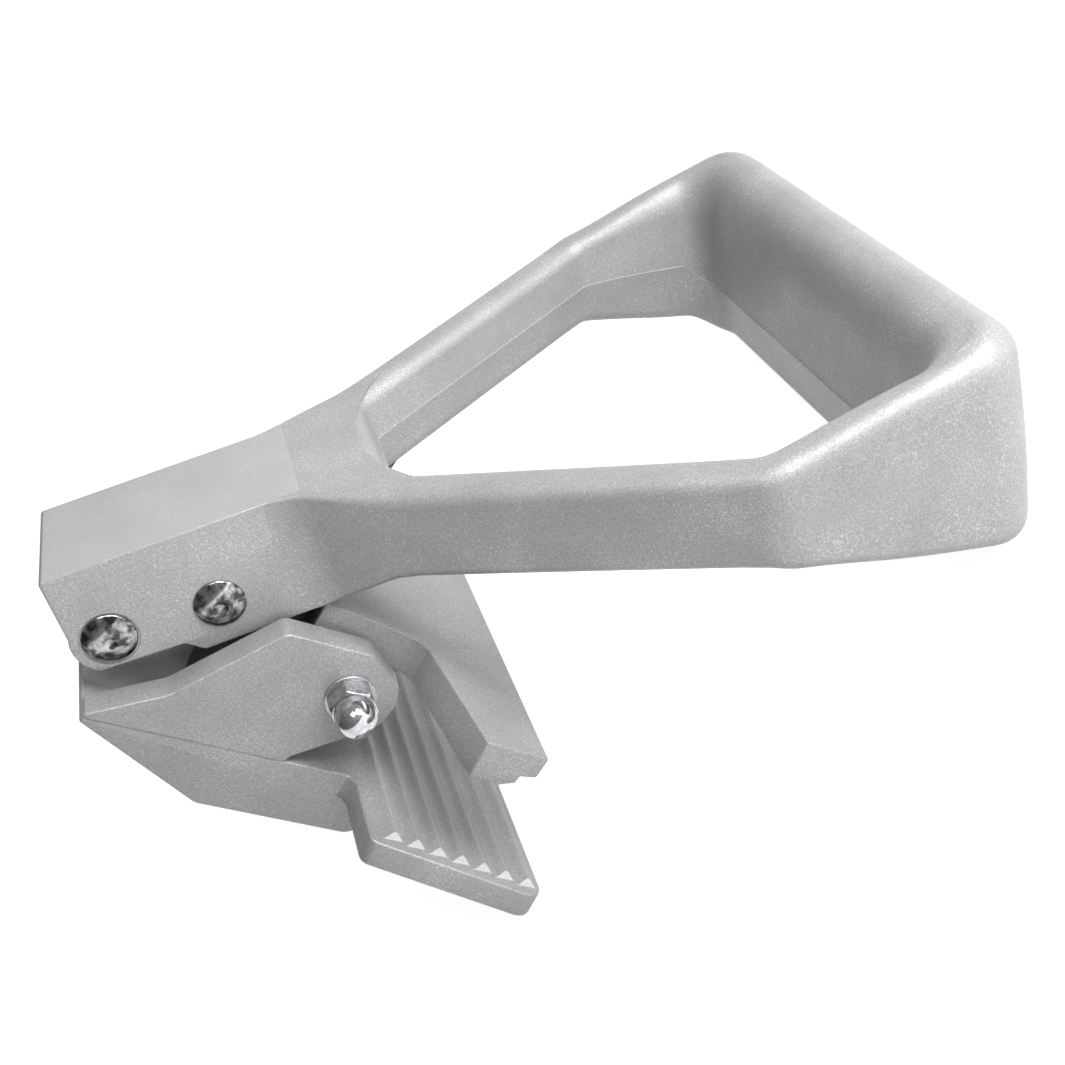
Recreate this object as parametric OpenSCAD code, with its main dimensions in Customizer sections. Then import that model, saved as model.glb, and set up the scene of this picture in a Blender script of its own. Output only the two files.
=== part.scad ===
// Panel carrier: a one-hand lifting grip that clamps the edge of a board.
// Lifting the grip turns the handle about its front rivet. The rear rivet then drives
// a curved slot in the tail of the upper jaw, which closes on the serrated lower jaw.
// The pieces are drawn with the neck's top face level, X from neck to grip, and are
// then set down the way the tool stands on a table, on the jaw's tip and the grip.

/* [Neck] */
// Width of the neck
neck_w = 33; // [32:0.5:36]
// Length of the flat on top of the neck
flat_l = 58; // [52:1:62]
// Thickness of the neck's side walls
neck_wall = 4.2; // [3.6:0.1:4.6]
// Thickness of the neck's roof over its channel
neck_roof = 4.5; // [3:0.5:7]
// Depth of the side walls at the front
neck_depth = 26.3; // [25:0.1:28]
// Depth of the side walls round the rear rivet
rear_depth = 29.5; // [28:0.1:29.6]
// Radius of the rounded lobe round the front rivet
lobe_r = 8.6; // [7.5:0.1:9.5]

/* [Arms and grip] */
// Overall length of the handle, from neck front to the back of the grip
handle_l = 199.4; // [185:1:230]
// Overall width of the handle
handle_w = 145; // [130:1:165]
// Angle that each arm spreads from the centre line
arm_angle = 32.3; // [28:0.5:36]
// Width of an arm
arm_w = 10.4; // [9:0.2:13]
// Height of an arm
arm_h = 22.3; // [16:0.5:24]
// Drop of the arms below the neck's top
arm_drop = 1.3; // [0.5:0.1:4]
// Distance from the neck's front to the hand window
crotch_x = 76.8; // [74:0.5:82]
// Wall beside the hand, from window to outside
side_t = 9.8; // [8:0.2:12]
// Thickness of the grip, front to back
grip_t = 18.5; // [16:0.5:26]
// Height of the grip's crest above the neck's top
grip_rise = 9.5; // [5:0.5:14]
// Depth of the grip's lower edge below the neck's top
grip_low = 40.4; // [32:0.5:44]
// Outer corner radius of the grip, seen from above
corner_r = 13; // [12:1:20]
// Rounding of the arms' upper edges
arm_round = 4.4; // [3:0.2:6]
// Rounding of the grip's upper edges
grip_round = 8; // [4:0.1:8.5]

/* [Rivets] */
// Front rivet behind the neck's front edge
front_pin_x = 8.1; // [8:0.1:9]
// Front rivet below the neck's top
front_pin_z = 18.4; // [17.5:0.1:19]
// Distance between the two rivets
pin_pitch = 24.6; // [24:0.1:25.4]
// Drop of the rear rivet below the front one
pin_drop = 1; // [0.4:0.1:1.6]
// Shank diameter of both rivets
rivet_d = 6; // [5:0.2:6.2]
// Head diameter of the front rivet
front_head_d = 12; // [10:0.2:13]
// Head diameter of the rear rivet
rear_head_d = 11.4; // [10:0.2:13]
// Height of a rivet head
head_h = 1.7; // [1:0.1:2.4]
// Depth of the spot face under the front rivet's heads
spot_depth = 0.4; // [0.2:0.1:0.8]

/* [Jaw pivot] */
// Pivot bolt behind the neck's front edge
pivot_x = 51.6; // [51:0.1:52.6]
// Pivot bolt below the neck's top
pivot_z = 49.4; // [49:0.1:50.4]
// Thread diameter of the pivot bolt
bolt_d = 6; // [5:0.5:6]
// Width across flats of the bolt's head and of the cap nut
hex_af = 10; // [9:0.5:11]
// Outer diameter of the sleeve that the upper jaw turns on
sleeve_d = 10; // [9:0.5:12]
// Radius of the upper jaw's hub
hub_r = 10; // [8.5:0.25:10.5]
// Radius of the lower jaw's ears round the pivot
ear_r = 11.2; // [10:0.2:11.6]

/* [Jaws] */
// Slope of the lower jaw below the line of the neck
jaw_angle = 41.2; // [39:0.2:43]
// Extra slope of the upper jaw when it stands open
open_tilt = 1.6; // [0:0.2:3]
// Height of the pivot above the lower gripping face
pivot_h = 20.7; // [20:0.1:23]
// Inside width between the lower jaw's ears
ear_gap = 35.2; // [35.2:0.1:37]
// Thickness of an ear
ear_t = 7.4; // [6:0.2:9]
// Distance from pivot to the paddle's front edge
paddle_front = 10; // [9:0.5:13]
// Distance from pivot to the jaw's tip
paddle_tip = 52; // [48:0.5:60]
// Width of the paddle at its root
paddle_root_w = 95; // [84:1:104]
// Width of the paddle at its tip
paddle_tip_w = 114; // [104:1:124]
// Thickness of the paddle
paddle_t = 6.7; // [5:0.1:9]
// Depth of the hull below the gripping face
hull_depth = 18; // [14:0.5:20]
// Distance from pivot to the tail's end
tail_l = 54; // [53.5:0.1:56]
// Height of the serrations
tooth_h = 1.1; // [0.6:0.1:1.8]
// Pitch of the serrations
tooth_pitch = 5.38; // [4.6:0.05:5.5]
// Number of serrations
tooth_count = 7; // [3:1:7]
// Thickness of the upper clamp bar
bar_t = 9.2; // [7:0.2:10]
// Height of the clamp bar's top above the pivot
bar_top = 16; // [15.4:0.1:16.2]
// Distance from pivot to the clamp bar's tip
bar_tip = 34.7; // [32:0.1:40]
// Length by which the paddle's tip stands past the clamp bar on each side
bar_margin = 1.6; // [1:0.1:4]

/* [Linkage] */
// Turns of the upper jaw for one turn of the handle
jaw_ratio = 2; // [1.8:0.05:2.1]
// Lift of the handle from open to closed, in degrees
lift_max = 17.5; // [12:0.5:18]
// Outer diameter of the sleeve that runs in the slot
cam_d = 8; // [7.4:0.1:8.2]
// Wall left round the slot
slot_wall = 3.6; // [3:0.1:4]
// Thickness of the upper jaw's tail
tail_t = 12; // [10:0.5:12.4]
// Thickness of the lower jaw's hinge lugs
lug_t = 5.2; // [4:0.1:5.4]
// Radius of the hinge lugs round the front rivet
lug_r = 7.2; // [6.2:0.1:7.6]
// Outer diameter of the bushes pressed into the lugs
lug_bush_d = 9; // [8:0.2:10]

/* [Clearances] */
// Radial running clearance of a pin in its hole
run_gap = 0.05; // [0.02:0.01:0.08]
// Side clearance between pieces that slide past each other
side_gap = 0.3; // [0.2:0.05:0.4]
// Radial clearance of the bolt in the ears
bolt_gap = 0.2; // [0.1:0.05:0.3]

/* [Hidden] */
$fn = 48;
eps = 0.01;
far = 400;

alloy = [0.72, 0.72, 0.72];
steel = [0.82, 0.83, 0.84];
bronze = [0.72, 0.58, 0.36];

// Side view helpers: a point is [x, z], and turns run from X towards Z.
function turn(p, a) = [p[0] * cos(a) - p[1] * sin(a), p[0] * sin(a) + p[1] * cos(a)];
function hyp(p) = sqrt(p * p);
function lerp(a, b, t) = a + (b - a) * t;

front_pin = [front_pin_x, -front_pin_z];
rear_pin = front_pin + [pin_pitch, -pin_drop];
pivot = [pivot_x, -pivot_z];
function to_jaw(p) = turn(p - pivot, jaw_angle);
front_pin_j = to_jaw(front_pin);
rear_pin_j = to_jaw(rear_pin);

neck_half = neck_w / 2;
channel_half = neck_half - neck_wall;
ear_in = ear_gap / 2;
hull_half = ear_in + ear_t;
tail_half = tail_t / 2;
lug_in = tail_half + 2 * side_gap;
hub_half = ear_in - 2 * side_gap;
rivet_r = rivet_d / 2;
cam_r = cam_d / 2;
slot_r = cam_r + run_gap;
boss_r = slot_r + slot_wall;

// Path of the rear rivet as the upper jaw sees it, in the jaw's frame at rest.
function slot_point(a) =
    turn(to_jaw(front_pin + turn(rear_pin - front_pin, a)), a * jaw_ratio);
slot_steps = 12;
slot_path = [for (i = [0 : slot_steps]) slot_point(lift_max * i / slot_steps)];
slot_dir = [for (i = [0 : slot_steps])
    let (d = slot_path[min(i + 1, slot_steps)] - slot_path[max(i - 1, 0)]) d / hyp(d)];
function slot_band(r) = concat(
    [for (i = [0 : slot_steps]) slot_path[i] + r * [-slot_dir[i][1], slot_dir[i][0]]],
    [for (i = [slot_steps : -1 : 0]) slot_path[i] - r * [-slot_dir[i][1], slot_dir[i][0]]]);

// A polygon's corners rounded with arcs; each entry is [x, y, radius].
function corner_arc(p, q, r, steps) =
    let (v = [q[0], q[1]],
         a = [p[0], p[1]] - v, b = [r[0], r[1]] - v,
         ua = a / hyp(a), ub = b / hyp(b),
         half = acos(max(-1, min(1, ua * ub))) / 2,
         reach = q[2] / tan(half),
         c = v + (ua + ub) / hyp(ua + ub) * q[2] / sin(half),
         s = v + ua * reach - c, e = v + ub * reach - c,
         a0 = atan2(s[1], s[0]), swing = atan2(s[0] * e[1] - s[1] * e[0], s * e))
    q[2] <= 0 ? [v] : [for (i = [0 : steps]) c + q[2] * [cos(a0 + swing * i / steps),
                                                      sin(a0 + swing * i / steps)]];
function rounded(pts, steps = 6) =
    let (n = len(pts))
    [for (i = [0 : n - 1]) each corner_arc(pts[(i + n - 1) % n], pts[i], pts[(i + 1) % n], steps)];

// A side profile made a plate between two distances from the middle.
module plate(y0, y1) {
    translate([0, y1, 0]) rotate([90, 0, 0]) linear_extrude(y1 - y0) children();
}
module both_sides() {
    children();
    mirror([0, 1, 0]) children();
}
module cross_pin(p, r, y0, y1) {
    translate([p[0], y0, p[1]]) rotate([-90, 0, 0]) cylinder(r = r, h = y1 - y0);
}

// Handle: the arms and the grip are one closed skin between an outer and an inner path, seen
// from above. Each path has as many rows of points as the other, laid on straights and arcs.
half_w = handle_w / 2;
flare_x = flat_l - 4;
function arm_at(x) = [x, neck_half + (x - flare_x) * tan(arm_angle)];
bend_x = flare_x + (half_w - neck_half) / tan(arm_angle);
in_bend = bend_x + arm_w * tan(arm_angle / 2);
arm_bottom = -arm_drop - arm_h;
inner_half = half_w - side_t;
grip_in = handle_l - grip_t;
crotch_half = arm_at(crotch_x)[1] - arm_w / cos(arm_angle);
sharp = 1.2;
foot_round = 3.4;
grip_foot = 6;
hand_round = 4.2;
grip_slope = [9.8, 17];
hand_foot = 5;
flare_r = 20;
bend_r = 14;
crotch_r = 5;
hand_bend_r = 8;
skin_in = 0.02;

skin_half = neck_half - skin_in;
skin_start = flare_x - 0.5 * flare_r * tan(arm_angle / 2) - 4;
outer_flare = corner_arc([0, skin_half], [flare_x, skin_half, flare_r], [bend_x, half_w], 4);
outer_bend = corner_arc([flare_x, neck_half], [bend_x, half_w, bend_r], [handle_l, half_w], 4);
outer_corner = corner_arc([0, half_w], [handle_l, half_w, corner_r], [handle_l, 0], 4);
inner_crotch = corner_arc([crotch_x, 0], [crotch_x, crotch_half, crotch_r],
                          [in_bend, inner_half], 3);
inner_bend = corner_arc([crotch_x, crotch_half], [in_bend, inner_half, hand_bend_r],
                        [handle_l, inner_half], 4);
inner_r = corner_r - side_t / 2;
side_end = grip_in - inner_r;
inner_corner = [for (a = [90, 79, 66, 52, 38, 20, 0])
    [side_end, inner_half - inner_r] + inner_r * [cos(a), sin(a)]];
function between(a, b, steps) = [for (i = [1 : steps - 1]) lerp(a, b, i / steps)];
arm_steps = 4;
side_steps = 5;
fork_x = outer_flare[4][0];
web_x = between(fork_x, crotch_x - hand_round, 4);
past_crotch = [for (k = [-0.1, 0.12, 0.31, 0.5, 0.63, 0.76, 0.9]) crotch_x + k * crotch_half];
outer_path = concat(
    [[skin_start, skin_half]], outer_flare, [for (x = web_x) arm_at(x)],
    [for (x = past_crotch) arm_at(x)], between(arm_at(past_crotch[6]), outer_bend[0], arm_steps),
    outer_bend, between(outer_bend[4], [side_end, half_w], side_steps),
    [[side_end, half_w], lerp([side_end, half_w], outer_corner[0], 0.5)], outer_corner,
    between(outer_corner[4], [handle_l, 0], 3), [[handle_l, 0]]);
inner_path = concat(
    [[skin_start, 0]], [for (p = outer_flare) [p[0], 0]], [for (x = web_x) [x, 0]],
    [[crotch_x, 0]], between([crotch_x, 0], inner_crotch[0], 3), inner_crotch,
    between(inner_crotch[3], inner_bend[0], arm_steps),
    inner_bend, between(inner_bend[4], inner_corner[0], side_steps), inner_corner,
    between(inner_corner[6], [grip_in, 0], 3), [[grip_in, 0]]);
// Rows of the two paths with a name: end of the flare, window's edge, both ends of the bend,
// both ends of the corner, and the grip's middle.
flare_row = len(outer_flare);
crotch_row = flare_row + len(web_x) + 1;
arm_row = crotch_row + len(past_crotch) - 1;
bend_row = arm_row + arm_steps;
side_row = bend_row + len(outer_bend) - 1;
corner_row = side_row + side_steps;
grip_row = corner_row + len(inner_corner) - 1;
last_row = len(outer_path) - 1;

// A smooth line through keys [place, value] that never overshoots them.
function rise(k, i) = (k[i + 1][1] - k[i][1]) / (k[i + 1][0] - k[i][0]);
function slope(k, i) =
    i == 0 || i == len(k) - 1 ? 0 :
    let (a = rise(k, i - 1), b = rise(k, i), g = k[i][0] - k[i - 1][0], h = k[i + 1][0] - k[i][0])
    a * b <= 0 ? 0 : 3 * (g + h) / ((2 * h + g) / a + (h + 2 * g) / b);
function piece_of(k, x, i = 0) = i < len(k) - 2 && k[i + 1][0] <= x ? piece_of(k, x, i + 1) : i;
function along(k, x) =
    let (i = piece_of(k, x), h = k[i + 1][0] - k[i][0], t = max(0, min(1, (x - k[i][0]) / h)))
    k[i][1] * (2 * pow(t, 3) - 3 * pow(t, 2) + 1) + h * slope(k, i) * (pow(t, 3) - 2 * pow(t, 2) + t)
    + k[i + 1][1] * (3 * pow(t, 2) - 2 * pow(t, 3)) + h * slope(k, i + 1) * (pow(t, 3) - pow(t, 2));

// Heights of the top and of both lower edges at a distance from the neck's front.
function up(t) = lerp(-arm_drop, grip_rise, t);
function down(t) = lerp(arm_bottom, -grip_low, t);
function fork(t) = lerp(-rear_depth + skin_in, arm_bottom, t);
fork_end = crotch_x - 0.3 * hand_round;
side_start = outer_bend[4][0];
corner_start = handle_l - corner_r;
top_line = [
    [flat_l - 2, -skin_in], [lerp(flat_l, fork_end, 0.5), -0.5 * arm_drop], [fork_end, -arm_drop],
    [outer_bend[0][0], up(0.01)], [side_start, up(0.09)], [lerp(side_start, corner_start, 0.5), up(0.47)],
    [corner_start, up(0.84)], [handle_l - grip_round, up(0.98)], [handle_l, up(1)]];
low_line = [
    [flare_x - 2, fork(0)], [lerp(flare_x, fork_end, 0.45), fork(0.5)], [fork_end, fork(1)],
    [outer_bend[0][0], down(0.01)], [side_start, down(0.12)],
    [lerp(side_start, corner_start, 0.5), down(0.5)], [corner_start, down(0.85)],
    [handle_l - grip_foot, down(1)], [handle_l, down(1)]];
hand_low_line = [
    [fork_end, fork(1)], [outer_bend[0][0], down(0.01)], [side_start, down(0.12)],
    [lerp(side_start, corner_start, 0.5), down(0.5)], [side_end, along(low_line, side_end)],
    [grip_in + hand_foot, down(1)], [handle_l, down(1)]];

// Roundings along the skin, keyed to rows: outer top, outer foot, width and height of the
// slope on the hand side, and how far the hand side swells to its parting line.
row_gap = [for (i = [0 : last_row - 1]) hyp(outer_path[i + 1] - outer_path[i])];
function row_at(i) = i == 0 ? 0 : row_at(i - 1) + row_gap[i - 1];
function keyed(list) = [for (k = list) [row_at(k[0]), k[1]]];
thin_top = side_t - arm_round - 0.6;
round_keys = keyed([[0, sharp], [2, sharp], [flare_row, 1.7], [crotch_row, 0.9 * arm_round],
                    [arm_row, arm_round], [corner_row, arm_round], [grip_row, grip_round],
                    [last_row, grip_round]]);
foot_keys = keyed([[0, sharp], [2, sharp], [flare_row, 1.7], [crotch_row, foot_round],
                   [corner_row, foot_round], [grip_row, grip_foot], [last_row, grip_foot]]);
wide_keys = keyed([[crotch_row, hand_round], [side_row, hand_round], [corner_row, thin_top],
                   [grip_row, grip_slope[0]], [last_row, grip_slope[0]]]);
high_keys = keyed([[crotch_row, hand_round], [side_row, hand_round], [corner_row, 2 * hand_round],
                   [grip_row, grip_slope[1]], [last_row, grip_slope[1]]]);
swell_keys = keyed([[crotch_row, 0.6], [arm_row, 1.1], [side_row, 1.3], [grip_row, 2.3],
                    [last_row, 2.3]]);

// Plan direction from each path into the metal.
function square_to(d) = [d[1], -d[0]] / hyp(d);
function out_in(i) =
    i == last_row ? [-1, 0] :
    square_to(outer_path[i + 1] - outer_path[max(i - 1, 0)]);
function hand_in(i) =
    i == crotch_row ? [-1, 0] : i == last_row ? [1, 0] :
    -square_to(inner_path[i + 1] - inner_path[i - 1]);
arc_steps = 5;
function quarter(w, h) =
    [for (k = [0 : arc_steps]) [w * (1 - sin(90 * k / arc_steps)), h * (1 - cos(90 * k / arc_steps))]];
function back(list) = [for (i = [len(list) - 1 : -1 : 0]) list[i]];
function at(p, z) = [p[0], p[1], z];
function top_border(i) =
    i < crotch_row ? inner_path[i] : inner_path[i] + hand_in(i) * along(wide_keys, row_at(i));
function low_border(i) = i < crotch_row ? inner_path[i] : inner_path[i] + hand_in(i) * hand_foot;
// Round the outside, from the top's inner border to the bottom's inner border.
function outside(i) =
    let (o = outer_path[i], n = out_in(i), r = along(round_keys, row_at(i)),
         foot = along(foot_keys, row_at(i)), p = top_border(i), q = low_border(i),
         top = along(top_line, (o + n * r)[0]), low = along(low_line, (o + n * foot)[0]))
    concat([at(p, along(top_line, p[0]))],
           [for (d = quarter(r, r)) at(o + n * d[0], top - d[1])],
           [at(o - n * swell_out * r, (top + low) / 2)],
           [for (d = back(quarter(foot, foot))) at(o + n * d[0], low + d[1])],
           [at(q, along(i < crotch_row ? low_line : hand_low_line, q[0]))]);
// On the hand side, from the bottom's inner border up to the top's, both left out.
function hand_side(i) =
    let (p = inner_path[i], w = hand_in(i), high = along(high_keys, row_at(i)),
         top = along(top_line, top_border(i)[0]), low = along(hand_low_line, low_border(i)[0]),
         foot = quarter(hand_foot, hand_foot), brow = quarter(along(wide_keys, row_at(i)), high))
    concat([for (k = [1 : arc_steps]) at(p + w * foot[k][0], low + foot[k][1])],
           [at(p - w * along(swell_keys, row_at(i)), (top - high + low + hand_foot) / 2)],
           [for (k = [arc_steps : -1 : 1]) at(p + w * brow[k][0], top - brow[k][1])]);
swell_out = 0.06;
outer_n = 2 * arc_steps + 5;
ring_n = outer_n + 2 * arc_steps + 1;
near_pts = concat(
    [for (i = [0 : crotch_row - 1]) each outside(i)],
    [for (i = [crotch_row : last_row]) each concat(outside(i), hand_side(i))]);
// Points of the far half; those on the middle plane are shared with the near half.
far_pts = concat(
    [for (i = [0 : crotch_row]) let (r = outside(i)) for (k = [1 : outer_n - 2]) r[k]],
    [for (i = [crotch_row + 1 : last_row - 1]) each concat(outside(i), hand_side(i))]);
near_n = len(near_pts);
function near_id(i, k) =
    i <= crotch_row ? i * outer_n + k : crotch_row * outer_n + (i - crotch_row) * ring_n + k;
function far_id(i, k) =
    i <= crotch_row ? (k == 0 || k >= outer_n - 1 ? near_id(i, k) : near_n + i * (outer_n - 2) + k - 1) :
    i == last_row ? near_id(i, k) :
    near_n + (crotch_row + 1) * (outer_n - 2) + (i - crotch_row - 1) * ring_n + k;
skin_cells = concat(
    [for (i = [0 : crotch_row - 1]) for (k = [0 : outer_n - 2]) [i, k, k + 1]],
    [for (i = [crotch_row : last_row - 1]) for (k = [0 : ring_n - 1]) [i, k, (k + 1) % ring_n]]);
loft_pts = concat([for (p = near_pts) [p[0], -p[1], p[2]]], far_pts);

module arms_and_grip() {
    polyhedron(points = loft_pts, faces = concat(
        [[for (k = [0 : outer_n - 1]) near_id(0, k), for (k = [outer_n - 2 : -1 : 1]) far_id(0, k)]],
        [for (c = skin_cells) [near_id(c[0], c[1]), near_id(c[0] + 1, c[1]), near_id(c[0], c[2])]],
        [for (c = skin_cells) [near_id(c[0], c[2]), near_id(c[0] + 1, c[1]), near_id(c[0] + 1, c[2])]],
        [for (c = skin_cells) [far_id(c[0], c[1]), far_id(c[0], c[2]), far_id(c[0] + 1, c[1])]],
        [for (c = skin_cells) [far_id(c[0], c[2]), far_id(c[0] + 1, c[2]), far_id(c[0] + 1, c[1])]]));
}

// Side profile of the neck: flat top, lobe round the front rivet, deeper round the rear one.
// The lower edge runs straight from the lobe to a crisp step, and cuts the lobe's bottom off.
step_x = rear_pin[0] - 10.5;
function neck_low(x) = 0.042 * (step_x - x) - neck_depth;
module neck_profile() {
    polygon(rounded([
        [0, 0, 0.8], [flat_l, 0, 0], [flat_l, 1.5 - rear_depth, 0],
        [flare_x, -rear_depth, 0], [step_x + 3.5, -rear_depth, 0.7],
        [step_x, -neck_depth, 0.7], [front_pin[0], neck_low(front_pin[0]), 0],
        [front_pin[0], -front_pin_z, 0], [0, -front_pin_z, 0]], 4));
    intersection() {
        translate(front_pin) circle(r = lobe_r);
        polygon([[-lobe_r, 0], [-lobe_r, neck_low(-lobe_r)], [step_x, neck_low(step_x)], [step_x, 0]]);
    }
}

channel_end = rear_pin[0] + boss_r + 6.3;
module handle_frame() {
    color(alloy) stand() difference() {
        union() {
            plate(-neck_half, neck_half) neck_profile();
            arms_and_grip();
        }
        plate(-channel_half, channel_half) polygon([
            [-lobe_r, -neck_roof], [channel_end - 3, -neck_roof],
            [channel_end, -neck_roof - 4], [channel_end, -far], [-lobe_r, -far]]);
        plate(-lug_in, lug_in) polygon([
            [rear_pin[0], -neck_roof - 2], [channel_end, -neck_roof - 4],
            [channel_end + 10, -neck_roof - 9], [channel_end + 16, -neck_roof - 16],
            [channel_end + 16, -far], [rear_pin[0], -far]]);
        cross_pin(front_pin, rivet_r, -far, far);
        cross_pin(rear_pin, rivet_r, -far, far);
        both_sides() cross_pin(front_pin, front_head_d / 2 + 0.6, neck_half - spot_depth, far);
    }
}

// Lower jaw, drawn in the jaw's frame: pivot at the origin, X towards the tip.
face_n = -pivot_h;
hull_n = face_n - hull_depth;
paddle_n = face_n - paddle_t;
keel_s = -0.41 * tail_l;
heel_s = paddle_front + 0.54 * ear_r;
edge_land = 4.2;
keel_round = 0.24 * hull_depth;
hull_draft = 0.12 * hull_depth;
top_n = ear_r + 0.5;
// The paddle's face is machined a hair proud of the hull's, so the two never share a plane.
face_step = 0.03;

module hull_profile() {
    heel_end = heel_s + 0.65 * hull_depth;
    polygon(rounded([
        [-tail_l, face_n, 0.8], [-tail_l - 0.4, face_n - 1.6, 0.8], [keel_s, hull_n, keel_round],
        [heel_s, hull_n, keel_round], [heel_end, paddle_n + 0.5, keel_round],
        [heel_end + keel_round, paddle_n + 0.5, 0], [heel_end + keel_round, face_n, 0]], 4));
}
// The hull's sides lean in towards its bottom.
module hull() {
    intersection() {
        plate(-hull_half, hull_half) hull_profile();
        rotate([90, 0, 90]) linear_extrude(2 * far, center = true) polygon([
            [-hull_half, face_n + 1], [hull_half, face_n + 1], [hull_half, face_n],
            [hull_half - hull_draft, hull_n - 1], [hull_draft - hull_half, hull_n - 1],
            [-hull_half, face_n]]);
    }
}
// Cheek and ear: tail edge, ramp, flat top, round end and the notch over the paddle.
module ear_profile() {
    difference() {
        union() {
            circle(r = ear_r);
            polygon(rounded([
                [-tail_l, face_n - eps, 0], [-tail_l, face_n + 0.8, 0],
                [-0.713 * tail_l, -0.5 * pivot_h, 9.5], [-1.77 * ear_r, top_n, 3],
                [0.11 * ear_r, top_n, 4], [0.84 * ear_r, 0.48 * ear_r, 3],
                [0.49 * ear_r, -0.86 * ear_r, 0], [-0.61 * ear_r, face_n + 1.4, 1],
                [-0.68 * ear_r, face_n - eps, 0]], 4));
        }
        circle(r = bolt_d / 2 + bolt_gap);
    }
}
module paddle_outline() {
    root = paddle_root_w / 2;
    tip = paddle_tip_w / 2;
    polygon(rounded([
        [paddle_front, -root, 2.6], [paddle_tip, -tip, 4.2],
        [paddle_tip, tip, 4.2], [paddle_front, root, 2.6]], 5));
}
module paddle_fillet() {
    r = 0.52 * paddle_t;
    translate([paddle_front - r, hull_half]) difference() {
        translate([0, -hull_draft]) square([r + eps, r + hull_draft + eps]);
        translate([0, r]) circle(r = r);
    }
}
// One serration: a soft ridge across the paddle, steep towards the tip, with hipped ends.
module tooth(s) {
    end_y = lerp(paddle_root_w, paddle_tip_w, (s - paddle_front) / (paddle_tip - paddle_front)) / 2
            - edge_land;
    top_y = end_y - 0.41 * tooth_pitch;
    back = tooth_pitch * 0.62;
    front = tooth_pitch * 0.34;
    low = face_n - eps;
    crest = [[s - 0.35 * back, face_n + 0.72 * tooth_h], [s, face_n + tooth_h],
             [s + 0.55 * front, face_n + 0.6 * tooth_h]];
    polyhedron(
        points = concat(
            [[s - back, -end_y, low], [s + front, -end_y, low],
             [s + front, end_y, low], [s - back, end_y, low]],
            [for (c = crest) [c[0], -top_y, c[1]]], [for (c = crest) [c[0], top_y, c[1]]]),
        faces = [[0, 1, 2, 3], [0, 4, 5], [0, 5, 1], [1, 5, 6], [2, 9, 8], [2, 8, 3], [3, 8, 7],
                 [1, 6, 9, 2], [6, 5, 8, 9], [5, 4, 7, 8], [4, 0, 3, 7]]);
}
// Hinge lug, with a low rib behind it that closes the gap under the neck.
module lug_profile() {
    rib_top = 1.4 - neck_depth;
    rib_end = to_jaw([rear_pin[0] - 4.5, rib_top]);
    difference() {
        union() {
            translate(front_pin_j) circle(r = lug_r);
            polygon([
                front_pin_j + turn([-lug_r, 0], jaw_angle), front_pin_j + turn([lug_r, 0], jaw_angle),
                to_jaw([front_pin[0] + lug_r, rib_top]), rib_end, [rib_end[0], face_n - eps],
                [-tail_l + 1, face_n - eps]]);
        }
        translate(front_pin_j) circle(r = lug_bush_d / 2);
    }
}
module lower_jaw() {
    color(alloy) in_jaw() {
        hull();
        both_sides() {
            plate(ear_in, hull_half) ear_profile();
            plate(lug_in, lug_in + lug_t) lug_profile();
        }
        translate([0, 0, paddle_n]) linear_extrude(paddle_t + face_step) {
            paddle_outline();
            both_sides_2d() paddle_fillet();
        }
        for (i = [0 : tooth_count - 1])
            tooth(paddle_tip - edge_land - 0.35 * tooth_h - tooth_pitch * i);
    }
}
module both_sides_2d() {
    children();
    mirror([0, 1]) children();
}

// Upper jaw, in the jaw's frame turned by the open tilt. The bar's width follows the paddle's.
bar_n = bar_top - bar_t;
bar_half = paddle_tip_w / 2 - bar_margin;
bar_root = 0.556 * bar_tip;
neck_front = bar_root - 0.52 * bar_top;
wide_back = -hub_r - 1.5;
module bar_profile() {
    polygon(rounded([
        [wide_back, bar_top, 0], [bar_tip, bar_top, 0.6], [bar_tip - 0.4, bar_top - 0.6 * bar_t, 0.8],
        [bar_tip - 4.1, bar_n + 3, 0.3], [bar_tip - 4.4, bar_n + 1.1, 0.3],
        [bar_tip - 7.8, bar_n - 0.4, 1], [bar_tip - 14, bar_n, 0], [0.5 * hub_r, bar_n, 0],
        [wide_back, bar_n, 0]], 3));
}
module jaw_plan() {
    near = hub_half;
    polygon(rounded([
        [wide_back, -near + 2, 1], [0, -near, 4], [neck_front, -near - 2.6, 5],
        [neck_front + 1.8, -near - 5.6, 3], [bar_root, -bar_half, 0.8],
        [bar_tip, -bar_half, 0.8], [bar_tip, bar_half, 0.8], [bar_root, bar_half, 0.8],
        [neck_front + 1.8, near + 5.6, 3], [neck_front, near + 2.6, 5], [0, near, 4],
        [wide_back, near - 2, 1]], 4));
}
module hub_profile() {
    circle(r = hub_r);
    polygon([[wide_back, bar_top], [neck_front, bar_top], [neck_front, bar_n],
             turn([hub_r, 0], -30), [0, 0], turn([-hub_r, 0], 0), [wide_back, bar_n]]);
}
module tail_profile() {
    a = slot_path[0];
    b = slot_path[slot_steps];
    difference() {
        union() {
            polygon(slot_band(boss_r));
            translate(a) circle(r = boss_r);
            translate(b) circle(r = boss_r);
            polygon([[wide_back + 2, bar_top], a + [2, boss_r * 0.97], a, b,
                     b + turn([0, -boss_r], -8), turn([0, -hub_r], -8), [0, 0]]);
        }
        polygon(slot_band(slot_r));
        translate(a) circle(r = slot_r);
        translate(b) circle(r = slot_r);
    }
}
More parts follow.
